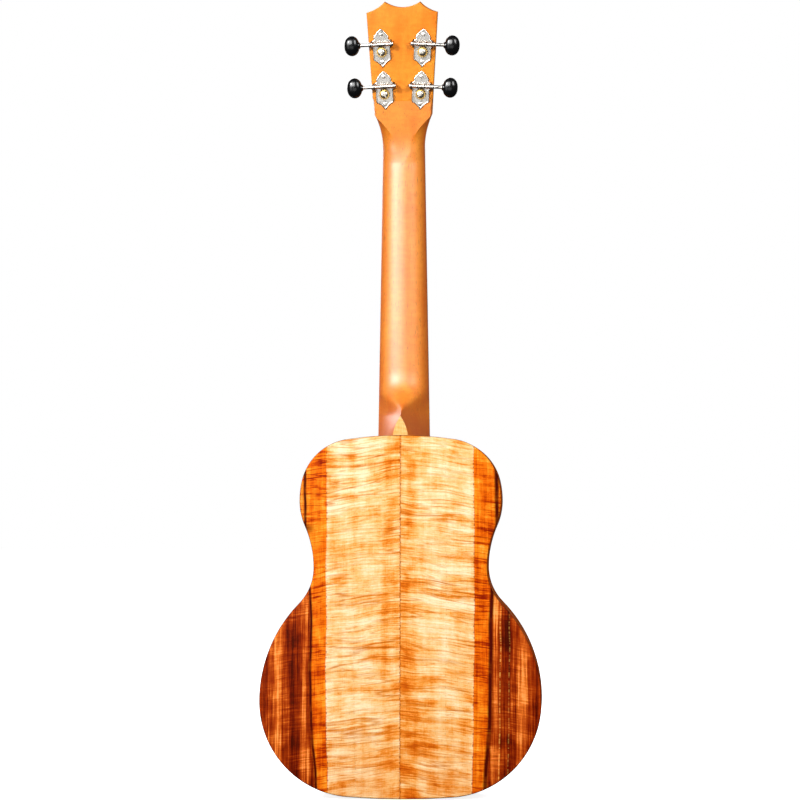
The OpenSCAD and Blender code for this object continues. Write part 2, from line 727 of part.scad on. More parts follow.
function in_head(p) = [p.x, front_y + p.y * cos(head_angle) + p.z * sin(head_angle),
    z_head - p.y * sin(head_angle) + p.z * cos(head_angle)];
winding_r = 2.5;
gap = 0.12;                                 // keeps a string clear of what it runs over
// A string runs through the bridge, over the saddle and the nut, and meets the inner side of its winding
function string_path(i) =
    let (r = string_r[i], xs = string_x(i, saddle_spacing), xn = string_x(i, nut_spacing),
        over_saddle = front_y - saddle_h - r - gap, over_nut = front_y - nut_h - r - gap,
        leave = winding_r + 3 * r + gap)
    [[xs, front_y - hole_h, bridge_z - 0.4], [xs, front_y - hole_h, bridge_z + tie_len + 0.2],
        [xs, over_saddle, z_saddle - 1.6], [xs, over_saddle, z_saddle + 1.6],
        [(xs + xn) / 2, (over_saddle + over_nut) / 2, (z_saddle + z_nut) / 2],
        [xn, over_nut, z_nut - 0.4], [xn, over_nut, z_head + 0.5],
        in_head([tuner_side[i] * (tuner_x[i] - leave), head_t + waist_top - 1.3 - r, tuner_z[i] - 1])];

module string(i) {
    path = string_path(i);
    color(bone) polyhedron(tube_points(path, string_r[i]), skin_faces(len(path), tube_n));
}

// The turns on the post, next to the headstock end of its waist, and the end that rises from them, passes
// through the post and is cut off beyond it
winding_turns = 3;
tail_out = 6;
module string_winding(i) {
    r = string_r[i];
    start = waist_top - 1.1;
    last = start - (winding_turns * 2 - 1) * r;
    clear = post_r + r + gap;
    rise = [[0, last, winding_r + r], [-2.2, last - 0.3, winding_r + r - 0.3], [-clear, string_hole_y + 1.2, 1.2],
        [-clear, string_hole_y, 0], [tail_out, string_hole_y, 0]];
    color(bone) at_tuner(i) {
        translate([0, start, 0]) rotate([90, 0, 0]) difference() {
            cylinder(r = winding_r + 2 * r, h = winding_turns * 2 * r);
            translate([0, 0, -1]) cylinder(r = winding_r, h = winding_turns * 2 * r + 2);
        }
        polyhedron(tube_points(rise, r, [0, 0.3, 1]), skin_faces(len(rise), tube_n));
    }
}

soundboard(-1);  // soundboard_bass
soundboard(1);  // soundboard_treble
rosette();
back(-1);  // back_bass
back(1);  // back_treble
back_centre_strip();
side_rib(-1);  // side_bass
side_rib(1);  // side_treble
top_linings();
back_linings();
neck_block();
tail_block();
top_braces();
back_braces();
bridge_plate();
bridge();
saddle();
neck();
heel_cap();
headstock();
head_veneer();
nut();
fretboard();
frets();
position_dots();
plate_screws();
post_bushings();
for (i = [0 : 3]) {
    string(i);
    tuner_plate(i);
    worm_shaft(i);
    button(i);
    worm_wheel(i);
    post(i);
    wheel_screw(i);
    string_winding(i);
}
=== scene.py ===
import json
import math
import random

import bmesh
import bpy
import numpy as np
from mathutils import Matrix, Vector


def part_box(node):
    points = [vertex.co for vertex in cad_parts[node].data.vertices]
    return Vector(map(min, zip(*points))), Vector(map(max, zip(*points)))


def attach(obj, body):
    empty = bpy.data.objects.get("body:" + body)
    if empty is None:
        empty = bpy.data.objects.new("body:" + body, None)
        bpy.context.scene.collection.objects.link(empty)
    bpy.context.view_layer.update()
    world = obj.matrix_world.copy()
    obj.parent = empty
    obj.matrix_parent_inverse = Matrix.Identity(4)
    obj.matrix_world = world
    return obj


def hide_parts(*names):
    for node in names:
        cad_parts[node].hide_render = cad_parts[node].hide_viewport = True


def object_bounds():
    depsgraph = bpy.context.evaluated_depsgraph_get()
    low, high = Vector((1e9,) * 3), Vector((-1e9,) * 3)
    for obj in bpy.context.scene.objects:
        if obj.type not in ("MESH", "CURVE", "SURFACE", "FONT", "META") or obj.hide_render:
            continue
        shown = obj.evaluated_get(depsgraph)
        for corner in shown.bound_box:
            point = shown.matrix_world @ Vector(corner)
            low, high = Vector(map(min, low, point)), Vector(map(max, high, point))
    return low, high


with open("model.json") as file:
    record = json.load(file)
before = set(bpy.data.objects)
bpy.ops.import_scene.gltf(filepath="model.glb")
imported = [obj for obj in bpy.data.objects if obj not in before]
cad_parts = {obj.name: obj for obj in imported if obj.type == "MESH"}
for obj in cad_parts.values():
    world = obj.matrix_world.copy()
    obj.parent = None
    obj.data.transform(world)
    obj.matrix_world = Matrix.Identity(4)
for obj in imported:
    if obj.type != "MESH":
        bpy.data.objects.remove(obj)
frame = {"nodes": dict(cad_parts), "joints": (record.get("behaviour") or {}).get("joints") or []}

CAD_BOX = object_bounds()
random.seed(7)

# Lengths are in millimetres in the CAD frame until a mesh is made, and MM turns them into metres.
MM = 0.001
STRINGS = ("g", "c", "e", "a")
ROOT = "instrument"


# ---------- Places taken from the frame ----------
def corners(node):
    """A CAD node's lowest and highest corners, in millimetres."""
    low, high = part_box(node)
    return low / MM, high / MM


def points(node):
    """A CAD node's vertices, in millimetres."""
    return [v.co / MM for v in frame["nodes"][node].data.vertices]


def joint_place(name):
    """A joint's point, in millimetres, and the unit vector along its axis."""
    joint = next(j for j in frame["joints"] if j["name"] == name)
    return Vector(joint["pos_m"]) / MM, Vector(joint["axis"]).normalized()


nut_low, nut_high = corners("nut")
board_low, board_high = corners("fretboard")
top_low, top_high = corners("soundboard_treble")
back_high = corners("back_treble")[1]
FRONT_Y = top_low.y                     # outer face of the soundboard
TOP_T = top_high.y - top_low.y
BODY_LENGTH = back_high.z
BOARD_T = board_high.y - board_low.y
Z_NUT = nut_low.z
Z_HEAD = nut_high.z                     # where the headstock starts to tilt
NUT_HALF = nut_high.x

head_normal = joint_place("post_turn_g")[1]
HEAD_TILT = math.atan2(-head_normal.z, head_normal.y)
HEAD = Matrix.Translation((0, FRONT_Y, Z_HEAD)) @ Matrix.Rotation(-HEAD_TILT, 4, "X")
TO_HEAD = HEAD.inverted()


def plane_of(node, far):
    """The height in Y of a back piece's outer face (or its inner one) as a straight line over Z."""
    places = points(node)
    ends = []
    for z in (min(p.z for p in places), max(p.z for p in places)):
        level = [p.y for p in places if abs(p.z - z) < 0.05]
        ends.append((z, max(level) if far else min(level)))
    (z0, y0), (z1, y1) = ends
    return lambda z: y0 + (y1 - y0) * (z - z0) / (z1 - z0)


back_outer = plane_of("back_treble", True)
back_inner = plane_of("back_treble", False)


def unit(rows):
    """The rows scaled to length 1."""
    return rows / np.linalg.norm(rows, axis=1)[:, None]


def run_along(line):
    """How far along a line each of its points lies."""
    return np.concatenate([[0], np.cumsum(np.linalg.norm(np.diff(line, axis=0), axis=1))])


def spread(polyline, count):
    """A smooth curve through the points, resampled to even steps."""
    p = np.array(polyline, float)
    p = np.vstack([2 * p[0] - p[1], p, 2 * p[-1] - p[-2]])
    fine = []
    for k in range(1, len(p) - 2):
        for t in np.linspace(0, 1, 8, endpoint=False):
            a, b, c, d = p[k - 1], p[k], p[k + 1], p[k + 2]
            fine.append(0.5 * (2 * b + (c - a) * t + (2 * a - 5 * b + 4 * c - d) * t ** 2
                               + (3 * b - a - 3 * c + d) * t ** 3))
    fine.append(p[-2])
    fine = np.array(fine)
    run = run_along(fine)
    steps = np.linspace(0, run[-1], count)
    return np.column_stack([np.interp(steps, run, fine[:, i]) for i in range(fine.shape[1])])


def body_edge(count=220):
    """The treble half of the body's outline, from the tail's middle to the heel's, as rows of (x, z)."""
    middle = 0.6 * BODY_LENGTH          # every part of the outline is in sight from here
    found = {(round(p.x, 3), round(p.z, 3)) for p in points("back_treble")}
    found = sorted(found, key=lambda q: math.atan2(q[1] - middle, q[0]))
    kept = [q for q in found if q[0] > 0.01 or q[1] < 1 or q[1] > BODY_LENGTH - 1]
    half = spread(kept, count)
    half[0, 0] = half[-1, 0] = 0
    return half


BODY_EDGE = body_edge()


def normals(line):
    """Unit normals of half an outline, to the right of its direction, which stay upright at its two ends."""
    d = unit(np.gradient(line, axis=0))
    n = np.column_stack([d[:, 1], -d[:, 0]])
    n[0], n[-1] = (0, -1), (0, 1)
    return n


# ---------- Materials ----------
class Graph:
    """A material and short calls that add nodes to it."""

    def __init__(self, name, **values):
        self.material = bpy.data.materials.new(name)
        self.material.use_nodes = True
        self.tree = self.material.node_tree
        self.shader = self.tree.nodes["Principled BSDF"]
        for key, value in values.items():
            self.shader.inputs[key.replace("_", " ")].default_value = value

    def put(self, socket, value):
        if isinstance(value, bpy.types.NodeSocket):
            self.tree.links.new(value, socket)
        elif value is not None:
            socket.default_value = value

    def node(self, kind, settings=None, **inputs):
        made = self.tree.nodes.new("ShaderNode" + kind)
        for key, value in (settings or {}).items():
            setattr(made, key, value)
        for key, value in inputs.items():
            self.put(made.inputs[key], value)
        return made

    def math(self, operation, *values):
        made = self.tree.nodes.new("ShaderNodeMath")
        made.operation = operation
        for socket, value in zip(made.inputs, values):
            self.put(socket, value)
        return made.outputs[0]

    def total(self, *values):
        out = values[0]
        for value in values[1:]:
            out = self.math("ADD", out, value)
        return out

    def times(self, a, b):
        return self.math("MULTIPLY", a, b)

    def place(self):
        """The point in the row frame, in millimetres, as x, y and z."""
        coordinate = self.node("TexCoord").outputs["Object"]
        return self.split(coordinate, 1 / MM)

    def uv(self):
        """The mesh's own grain coordinates, in millimetres."""
        return self.split(self.node("TexCoord").outputs["UV"], 1)[:2]

    def split(self, vector, scale):
        scaled = self.tree.nodes.new("ShaderNodeVectorMath")
        scaled.operation = "SCALE"
        self.put(scaled.inputs[0], vector)
        scaled.inputs["Scale"].default_value = scale
        return self.node("SeparateXYZ", Vector=scaled.outputs[0]).outputs[:]

    def facing(self, direction):
        """How squarely the surface faces along a direction or against it, from 0 to 1."""
        made = self.node("VectorMath", {"operation": "DOT_PRODUCT"})
        self.put(made.inputs[0], self.node("NewGeometry").outputs["Normal"])
        made.inputs[1].default_value = direction
        return self.math("ABSOLUTE", made.outputs["Value"])

    def noise(self, x, y, z, detail=2.0, roughness=0.5, distortion=0.0):
        vector = self.node("CombineXYZ", X=x, Y=y, Z=z).outputs[0]
        made = self.node("TexNoise", Vector=vector, Scale=1.0, Detail=detail, Roughness=roughness,
                         Distortion=distortion)
        return made.outputs[0]

    def centred(self, x, y, z, amount, **kwargs):
        """Noise that swings about 0, by up to about half of amount each way."""
        return self.times(self.math("SUBTRACT", self.noise(x, y, z, **kwargs), 0.5), amount)

    def step(self, value, low, high, start=0.0, end=1.0):
        made = self.node("MapRange", {"interpolation_type": "SMOOTHSTEP"})
        for key, number in (("Value", value), ("From Min", low), ("From Max", high),
                            ("To Min", start), ("To Max", end)):
            self.put(made.inputs[key], number)
        return made.outputs[0]

    def ramp(self, value, stops):
        made = self.node("ValToRGB")
        self.put(made.inputs[0], value)
        band = made.color_ramp
        while len(band.elements) > 2:
            band.elements.remove(band.elements[-1])
        for k, (at, colour) in enumerate(stops):
            stop = band.elements[k] if k < 2 else band.elements.new(at)
            stop.position = at
            stop.color = (*colour, 1)
        return made.outputs[0]

    def mix(self, share, a, b, blend="MIX"):
        made = self.node("Mix", {"data_type": "RGBA", "blend_type": blend})
        self.put(made.inputs[0], share)
        for socket, value in ((made.inputs[6], a), (made.inputs[7], b)):
            self.put(socket, (*value, 1) if isinstance(value, tuple) else value)
        return made.outputs[2]

    def finish(self, colour=None, roughness=None, height=None, depth=0.02):
        """Links what was made. depth is the height map's full swing in millimetres."""
        if colour is not None:
            self.put(self.shader.inputs["Base Color"], colour)
        if roughness is not None:
            self.put(self.shader.inputs["Roughness"], roughness)
        if height is not None:
            bump = self.node("Bump", Strength=1.0, Distance=depth * MM, Height=height)
            self.put(self.shader.inputs["Normal"], bump.outputs[0])
        return self.material


def srgb(*levels):
    """A colour given as 0 to 255 levels, as the linear values that shaders use."""
    return tuple((v / 255 / 12.92) if v <= 10 else ((v / 255 + 0.055) / 1.055) ** 2.4 for v in levels)


GOLDEN = [(0.0, srgb(192, 74, 2)), (0.2, srgb(224, 114, 20)), (0.38, srgb(240, 152, 60)),
          (0.56, srgb(244, 186, 114)), (0.78, srgb(250, 214, 162)), (1.0, srgb(255, 230, 190))]
ORANGE = [(0.0, srgb(136, 26, 0)), (0.26, srgb(194, 64, 0)), (0.5, srgb(228, 102, 4)),
          (0.76, srgb(244, 144, 30)), (1.0, srgb(253, 184, 82))]
BROWN = [(0.0, srgb(64, 6, 0)), (0.2, srgb(108, 20, 0)), (0.42, srgb(150, 46, 2)), (0.6, srgb(186, 76, 16)),
         (0.78, srgb(230, 118, 38)), (1.0, srgb(252, 162, 82))]
SAPWOOD = 61.0                          # millimetres from the seam to the sapwood's edge
STREAK = 73.6                           # and to the dark streak that edges the heartwood
# Bands of the heartwood, as distance from the seam, half width and how much lighter the wood is there
HEART_BANDS = ((79.0, 4.5, 0.22), (88.5, 7.5, -0.26), (101.5, 6.0, 0.3), (112.0, 6.0, -0.12))
SATIN = {"Roughness": 0.5, "Specular_IOR_Level": 0.03, "Specular_Tint": (1.0, 0.7, 0.4, 1.0)}


def koa(g, across, along, side, zones=True):
    """Colour and height of figured koa: across is millimetres from the seam, along runs with the grain."""
    def swing(value, amount):
        return g.times(g.math("SUBTRACT", value, 0.5), amount)

    def near(value, centre, half_width, strength=1.0):
        return g.step(g.math("ABSOLUTE", g.total(value, -centre)), 0, half_width, strength, 0)

    drift = g.centred(g.times(side, 2.3), g.times(along, 0.011), 4.0, 6.0)
    lane = g.total(across, drift)
    # Ripples lie square to the grain, rise towards the seam and come in sheaves
    sway = g.centred(g.times(across, 0.02), g.times(along, 0.014), g.times(side, 5.1), 9.0, detail=1)
    rise = g.total(along, g.times(across, 0.11), sway)
    sheaf = g.noise(g.times(across, 0.012), g.times(rise, 0.035), g.times(side, 1.9))
    sheaf = g.step(sheaf, 0.4, 0.6, 0.4, 1.0)
    thin = g.noise(g.times(across, 0.03), g.times(rise, 0.7), g.times(side, 7.7), detail=3, roughness=0.7)
    wide = g.noise(g.times(across, 0.022), g.times(rise, 0.1), g.times(side, 2.9), detail=1)
    # Crisp dark lines follow the contours of two slow noises
    slow = g.noise(g.times(across, 0.012), g.times(rise, 0.17), g.times(side, 3.7), detail=1)
    slower = g.noise(g.times(across, 0.02), g.times(rise, 0.33), g.times(side, 6.1), detail=1)
    lines = g.times(g.total(near(slow, 0.5, 0.045), near(slower, 0.52, 0.05, 0.8)), sheaf)
    lanes = g.noise(g.times(lane, 0.11), g.times(along, 0.007), g.times(side, 3.3), detail=2)
    block = g.noise(g.times(lane, 0.075), g.times(rise, 0.06), g.total(g.times(side, 9.2), 3.0), detail=2)
    fibre = g.noise(g.times(across, 1.3), g.times(along, 0.06), 1.0, detail=3, roughness=0.65)
    curl = g.noise(g.times(across, 0.3), g.times(rise, 0.8), g.times(side, 5.5), detail=3, roughness=0.7)
    pores = g.noise(g.times(across, 2.6), g.times(along, 0.34), 6.0, detail=1)
    bass = g.step(side, -0.5, 0.5, 1, 0)
    tone = g.total(0.65, swing(thin, 0.9), g.times(swing(wide, 1.2), sheaf), swing(lanes, 0.5),
                   swing(block, 0.7), swing(fibre, 0.25), swing(curl, 0.6), g.times(lines, -0.16))
    # The wood beside the seam is darker, and more so on the bass side
    beside = g.times(g.step(lane, 11, 17, 1, 0), g.total(0.15, g.times(bass, 0.05)))
    beside = g.total(beside, g.times(bass, g.step(along, 60, 200, 0.07, 0)))
    colour = g.mix(g.times(lines, 0.4), g.ramp(g.math("SUBTRACT", tone, beside), GOLDEN), srgb(190, 88, 10))
    if zones:
        wobble = g.centred(0.5, g.times(along, 0.03), g.times(side, 6.0), 3.0, detail=1)
        foot = g.step(along, 0, 80, 1, 0)
        edge = g.total(across, wobble, g.times(foot, 2.0))
        colour = g.mix(g.times(foot, 0.25), colour, g.ramp(tone, ORANGE))
        grain = g.noise(g.times(across, 0.34), g.times(along, 0.009), g.times(side, 2.0), detail=4,
                        roughness=0.66)
        deep = g.total(0.56, swing(thin, 0.5), swing(block, 1.0), swing(fibre, 0.5), swing(grain, 0.8),
                       swing(curl, 0.6), g.times(lines, -0.4), g.times(bass, -0.08),
                       g.step(along, 120, 200, 0, 0.08))
        colour = g.mix(g.step(edge, SAPWOOD - 0.5, SAPWOOD + 0.4), colour, g.ramp(deep, ORANGE))
        streak_at = g.total(STREAK, g.step(along, 150, 225, 0, 5.2), g.times(foot, -3.2), g.times(bass, 1.0))
        off = g.math("SUBTRACT", edge, streak_at)
        sections = g.noise(g.times(across, 0.07), g.times(rise, 0.06), 2.5, detail=2)
        bars = g.times(swing(thin, 0.8), g.step(sections, 0.4, 0.7, 0.1, 1.4))
        streaks = g.noise(g.times(across, 0.8), g.times(along, 0.016), g.times(side, 4.0), detail=2)
        dark = g.total(0.45, swing(grain, 1.2), swing(streaks, 0.9), swing(sections, 0.8), bars,
                       swing(fibre, 0.5), swing(curl, 0.25), g.times(lines, -0.06))
        for centre, half_width, lighter in HEART_BANDS:
            dark = g.total(dark, near(edge, centre, half_width, lighter))
        heart = g.times(g.step(off, 0, 2), g.step(along, 165, 215, 1, 0.35))
        colour = g.mix(heart, colour, g.ramp(dark, BROWN))
        # Two lines of pale flecks beyond the streak, on the bass side
        fleck = g.step(g.noise(1.0, g.times(along, 0.24), 3.0, detail=3, roughness=0.8), 0.44, 0.6)
        for centre, width, strength in ((82.6, 0.9, 0.65), (90.0, 0.8, 0.35)):
            line = g.times(g.times(near(edge, centre, width, strength), g.step(along, 150, 185, 1, 0)), fleck)
            colour = g.mix(g.times(line, bass), colour, srgb(255, 186, 84))
        patchy = g.step(g.noise(0.0, g.times(along, 0.05), g.times(side, 3.0)), 0.3, 0.5, 0.75, 1.0)
        width = g.total(1.35, g.times(bass, 0.7))
        strength = g.times(g.step(g.math("DIVIDE", g.math("ABSOLUTE", off), width), 0.3, 1.3, 1, 0), patchy)
        colour = g.mix(strength, colour, srgb(70, 4, 0))
        knot = g.times(near(along, 222.0, 6.0, 0.85), g.step(edge, 68, 80))
        colour = g.mix(g.times(knot, g.step(side, -0.5, 0.5, 0.3, 1)), colour, srgb(66, 8, 0))
        # Dark specks on the seam, on the sapwood's edge and on one line between them
        speckle = g.step(g.noise(g.times(side, 2.0), g.times(along, 0.42), 1.0, detail=0), 0.5, 0.62)
        for centre, half_width, strength in ((0.0, 1.1, 0.9), (SAPWOOD - 0.2, 0.8, 0.7), (38.0, 0.5, 0.3)):
            line = g.times(near(edge if centre else across, centre, half_width, strength), speckle)
            colour = g.mix(line, colour, srgb(132, 36, 0))
        colour = g.mix(near(across, 0.0, 1.0, 0.5), colour, srgb(178, 70, 8))
    speck = g.step(pores, 0.66, 0.73)
    colour = g.mix(g.times(speck, 0.4), colour, srgb(150, 66, 10))
    # Painted shade: the rounded edges and the ribs, which turn sideways to the back and front, are darkened
    # to dark brown
    colour = g.mix(g.step(g.facing((0, 1, 0)), 0.35, 0.93, 0.8, 0), colour, srgb(66, 14, 0))
    return colour, g.total(g.times(fibre, 0.5), g.times(speck, -0.8))


def koa_back():
    g = Graph("koa_back", **SATIN)
    x, y, z = g.place()
    colour, height = koa(g, g.math("ABSOLUTE", x), z, g.math("SIGN", x))
    return g.finish(colour, height=height, depth=0.03)


def koa_plain():
    """The heel cap's own small piece, clear of the seam."""
    g = Graph("koa_cap", **SATIN)
    x, y, z = g.place()
    fibre = g.noise(g.times(x, 1.3), g.times(z, 0.12), 3.0, detail=3)
    ripple = g.noise(g.times(x, 0.08), g.times(z, 0.5), 1.0, detail=2)
    tone = g.total(0.55, g.times(g.math("SUBTRACT", fibre, 0.5), 0.4),
                   g.times(g.math("SUBTRACT", ripple, 0.5), 0.4))
    return g.finish(g.ramp(tone, GOLDEN), height=fibre, depth=0.02)


def koa_top():
    g = Graph("koa_top", **SATIN)
    x, y, z = g.place()
    across = g.math("ABSOLUTE", x)
    colour, height = koa(g, across, g.total(z, 400.0), g.math("SIGN", x), zones=False)
    colour = g.mix(0.4, colour, srgb(200, 104, 34))
    colour = g.mix(g.step(across, 0.1, 0.3, 0.7, 0), colour, srgb(120, 52, 16))
    return g.finish(colour, height=height, depth=0.03)


def koa_side():
    """Grain runs round the ribs, so the figure crosses them."""
    g = Graph("koa_side", Roughness=0.7, Specular_IOR_Level=0.0)
    u, v = g.uv()
    colour, height = koa(g, g.total(v, 30.0), u, 1.0, zones=False)
    streaks = g.noise(g.times(v, 0.12), g.times(u, 0.01), 1.0, detail=4)
    colour = g.mix(0.6, colour, g.ramp(g.total(streaks, 0.06), BROWN))
    return g.finish(colour, height=height, depth=0.03)


def plain_wood(name, dark, light, roughness, gloss=0.3, ring=0.16, pore=0.5, slant=0.0, side_shade_dull_head=False):
    """Straight-grained wood whose fibres run along Z."""
    g = Graph(name, Roughness=roughness, Specular_IOR_Level=gloss, Specular_Tint=(1.0, 0.92, 0.9, 1.0))
    x, y, z = g.place()
    x = g.total(x, g.times(z, slant))
    broad = g.noise(g.times(x, ring), g.times(y, ring), g.times(z, 0.006), detail=3, roughness=0.55,
                    distortion=0.4)
    fibre = g.noise(g.times(x, 1.9), g.times(y, 1.9), g.times(z, 0.045), detail=3, roughness=0.6)
    pores = g.noise(g.times(x, 1.9), g.times(y, 1.9), g.times(z, 0.16), detail=2)
    sheen = g.noise(g.times(x, 0.05), g.times(y, 0.05), g.times(z, 0.03), detail=2)
    mottle = g.noise(g.times(x, 0.14), g.times(y, 0.14), g.times(z, 0.4), detail=3)
    tone = g.total(g.times(broad, 0.6), g.times(fibre, 0.3), g.times(sheen, 0.35), g.times(mottle, 0.35),
                   -0.28)
    colour = g.mix(g.step(tone, 0.2, 0.85), dark, light)
    speck = g.step(pores, 0.62, 0.7)
    colour = g.mix(g.times(speck, pore), colour, tuple(0.45 * c for c in dark))
    height = g.total(g.times(fibre, 0.5), g.times(speck, -1.0))
    if side_shade_dull_head:
        # Painted shade: the sides that turn away from the back are mixed towards deep red, and the finish is
        # duller from the nut upwards
        colour = g.mix(g.step(g.facing((0, 1, 0)), 0.2, 0.8, 0.6, 0), colour, srgb(212, 88, 10))
        g.put(g.shader.inputs["Specular IOR Level"], g.step(z, Z_HEAD - 10, Z_HEAD + 15, gloss, 0.5 * gloss))
    return g.finish(colour, height=height, depth=0.025)


def metal(name, colour, roughness, tint, scratch=0.004, outline=None):
    """Worn metal with scratches of the given depth. Painted shade of an outline colour darkens the edges that
    turn away from the headstock's back."""
    g = Graph(name, Metallic=1.0)
    x, y, z = g.place()
    smear = g.noise(g.times(x, 0.35), g.times(y, 0.35), g.times(z, 0.35), detail=3)
    fine = g.noise(g.times(x, 9.0), g.times(y, 1.2), g.times(z, 1.2), detail=2)
    shade = g.mix(g.step(smear, 0.35, 0.75), colour, tint)
    if outline:
        # Painted shade: edges that turn away from the headstock's back take the dark outline colour
        shade = g.mix(g.step(g.facing(head_normal), 0.45, 0.9, 1, 0), shade, outline)
    rough = g.total(roughness, g.times(g.math("SUBTRACT", smear, 0.5), 0.16), g.times(fine, 0.05))
    return g.finish(shade, roughness=rough, height=fine, depth=scratch)


def plastic(name, colour, roughness, **values):
    g = Graph(name, Roughness=roughness, **values)
    x, y, z = g.place()
    mottle = g.noise(g.times(x, 0.4), g.times(y, 0.4), g.times(z, 0.4), detail=4)
    fine = g.noise(g.times(x, 2.5), g.times(y, 2.5), g.times(z, 2.5), detail=2)
    shade = g.mix(g.step(mottle, 0.3, 0.7), colour, tuple(0.8 * c for c in colour))
    return g.finish(shade, height=fine, depth=0.006)


def inlay():
    """Rosette: dark lines either side of a rope of light and dark wood."""
    g = Graph("rosette_inlay", Roughness=0.35, Coat_Weight=0.1)
    x, y, z = g.place()
    up = g.math("SUBTRACT", z, HOLE.z)
    radius = g.math("SQRT", g.total(g.times(x, x), g.times(up, up)))
    angle = g.math("ARCTAN2", up, x)
    ring_in, ring_out = ROSETTE
    share = g.math("DIVIDE", g.math("SUBTRACT", radius, ring_in), ring_out - ring_in)
    turn = g.total(g.times(angle, 30.0), g.times(share, 4.0))
    rope = g.step(g.math("SINE", turn), -0.25, 0.25)
    colour = g.mix(rope, srgb(92, 42, 20), srgb(236, 200, 142))
    edge = g.math("ABSOLUTE", g.math("SUBTRACT", share, 0.5))
    colour = g.mix(g.step(edge, 0.27, 0.29), colour, srgb(236, 214, 170))
    colour = g.mix(g.step(edge, 0.34, 0.36), colour, srgb(30, 16, 10))
    return g.finish(colour)


HOLE_R = 31.0
rosette_low, rosette_high = corners("rosette")
HOLE = (rosette_low + rosette_high) / 2
ROSETTE = (rosette_high.x - 4.0, rosette_high.x)

KOA_BACK = koa_back()
KOA_TOP = koa_top()
KOA_SIDE = koa_side()
KOA_CAP = koa_plain()
MAHOGANY = plain_wood("mahogany", srgb(232, 114, 14), srgb(250, 156, 46), 0.44, gloss=0.75, ring=0.11,
                      pore=0.8, side_shade_dull_head=True)
HEADWOOD = plain_wood("headstock_mahogany", srgb(232, 116, 14), srgb(250, 158, 46), 0.52, gloss=0.12,
                      ring=0.11, pore=0.3, slant=0.02)
SPRUCE = plain_wood("spruce", srgb(206, 166, 112), srgb(232, 204, 156), 0.6, ring=0.9, pore=0.1)
EBONY = plain_wood("ebony", srgb(22, 16, 13), srgb(52, 38, 30), 0.4, ring=0.3, pore=0.6)
NICKEL = metal("nickel", srgb(214, 208, 200), 0.26, srgb(190, 182, 172))
# The outline colours of the plates, the wheel and the wheel screws are painted shade on their turned-away
# edges
PLATE = metal("plate_nickel", srgb(196, 192, 186), 0.22, srgb(168, 162, 154), 0.00128,
              outline=srgb(36, 20, 10))
BRASS = metal("brass", srgb(214, 178, 104), 0.24, srgb(176, 136, 70), outline=srgb(52, 36, 12))
STEEL = metal("fret_wire", srgb(206, 206, 204), 0.18, srgb(182, 182, 180))
SCREW = metal("screw_nickel", srgb(232, 226, 212), 0.2, srgb(212, 204, 188), outline=srgb(40, 28, 12))
BONE = plastic("bone", srgb(238, 230, 208), 0.3, Subsurface_Weight=0.1)
PEARL = plastic("dot_pearl", srgb(230, 232, 226), 0.18, Coat_Weight=0.6)
BLACK = plastic("button_black", srgb(7, 7, 9), 0.2, Specular_IOR_Level=0.4)
NYLON = plastic("string_nylon", srgb(236, 234, 224), 0.22, Transmission_Weight=0.25, IOR=1.53)


# ---------- Mesh helpers ----------
def piece(name, part, material, replaces, body=ROOT, matrix=None, uv=None, sharp=35):
    """A mesh object from (vertices, faces) in millimetres, in place of one CAD node. sharp is the angle in
    degrees over which an edge stays crisp. A part with grain coordinates keeps its doubled vertices."""
    verts, faces = part
    mesh = bpy.data.meshes.new(name)
    made = bmesh.new()
    rows = [made.verts.new((matrix @ Vector(v)) * MM if matrix else Vector(v) * MM) for v in verts]
    layer = made.loops.layers.uv.new("grain") if uv else None
    for face in faces:
        if len(set(face)) < 3:
            continue
        try:
            done = made.faces.new([rows[k] for k in face])
        except ValueError:              # the face is there already
            continue
        if uv:
            for loop, k in zip(done.loops, face):
                loop[layer].uv = uv[k]
    if not uv:
        bmesh.ops.remove_doubles(made, verts=made.verts, dist=1e-7)
        bmesh.ops.dissolve_degenerate(made, edges=made.edges, dist=1e-7)
    bmesh.ops.recalc_face_normals(made, faces=made.faces)
    made.to_mesh(mesh)
    made.free()
    mesh.materials.append(material)
    mesh.shade_smooth()
    mesh.set_sharp_from_angle(angle=math.radians(sharp))
    obj = bpy.data.objects.new(name, mesh)
    bpy.context.scene.collection.objects.link(obj)
    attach(obj, body)
    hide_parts(replaces)


def coat(material, *nodes):
    """Gives CAD nodes that are carried over a material."""
    for node in nodes:
        slots = frame["nodes"][node].data.materials
        slots.clear()
        slots.append(material)


def skin(rings, caps=True):
    """Faces between closed rings of equal length, numbered in order."""
    count, m = len(rings), len(rings[0])
    faces = []
    for k in range(count - 1):
        for i in range(m):
            j = (i + 1) % m
            faces.append((k * m + i, k * m + j, (k + 1) * m + j, (k + 1) * m + i))
    if caps:
        faces.append(tuple(range(m)))
        faces.append(tuple((count - 1) * m + i for i in range(m)))
    return [v for ring in rings for v in ring], faces


def circle(count):
    """Angles at even steps round a full turn."""
    return [2 * math.pi * k / count for k in range(count)]


def lathe(profile, steps=48):
    """A solid of revolution about Y from (radius, y) points, in its own frame."""
    return skin([[(r * math.cos(a), y, r * math.sin(a)) for a in circle(steps)] for r, y in profile])


def joined(*parts):
    """Several (vertices, faces) as one."""
    verts, faces = [], []
    for v, f in parts:
        start = len(verts)
        verts.extend(v)
        faces.extend(tuple(k + start for k in face) for face in f)
    return verts, faces


def moved(part, matrix):
    verts, faces = part
    return [tuple(matrix @ Vector(v)) for v in verts], faces


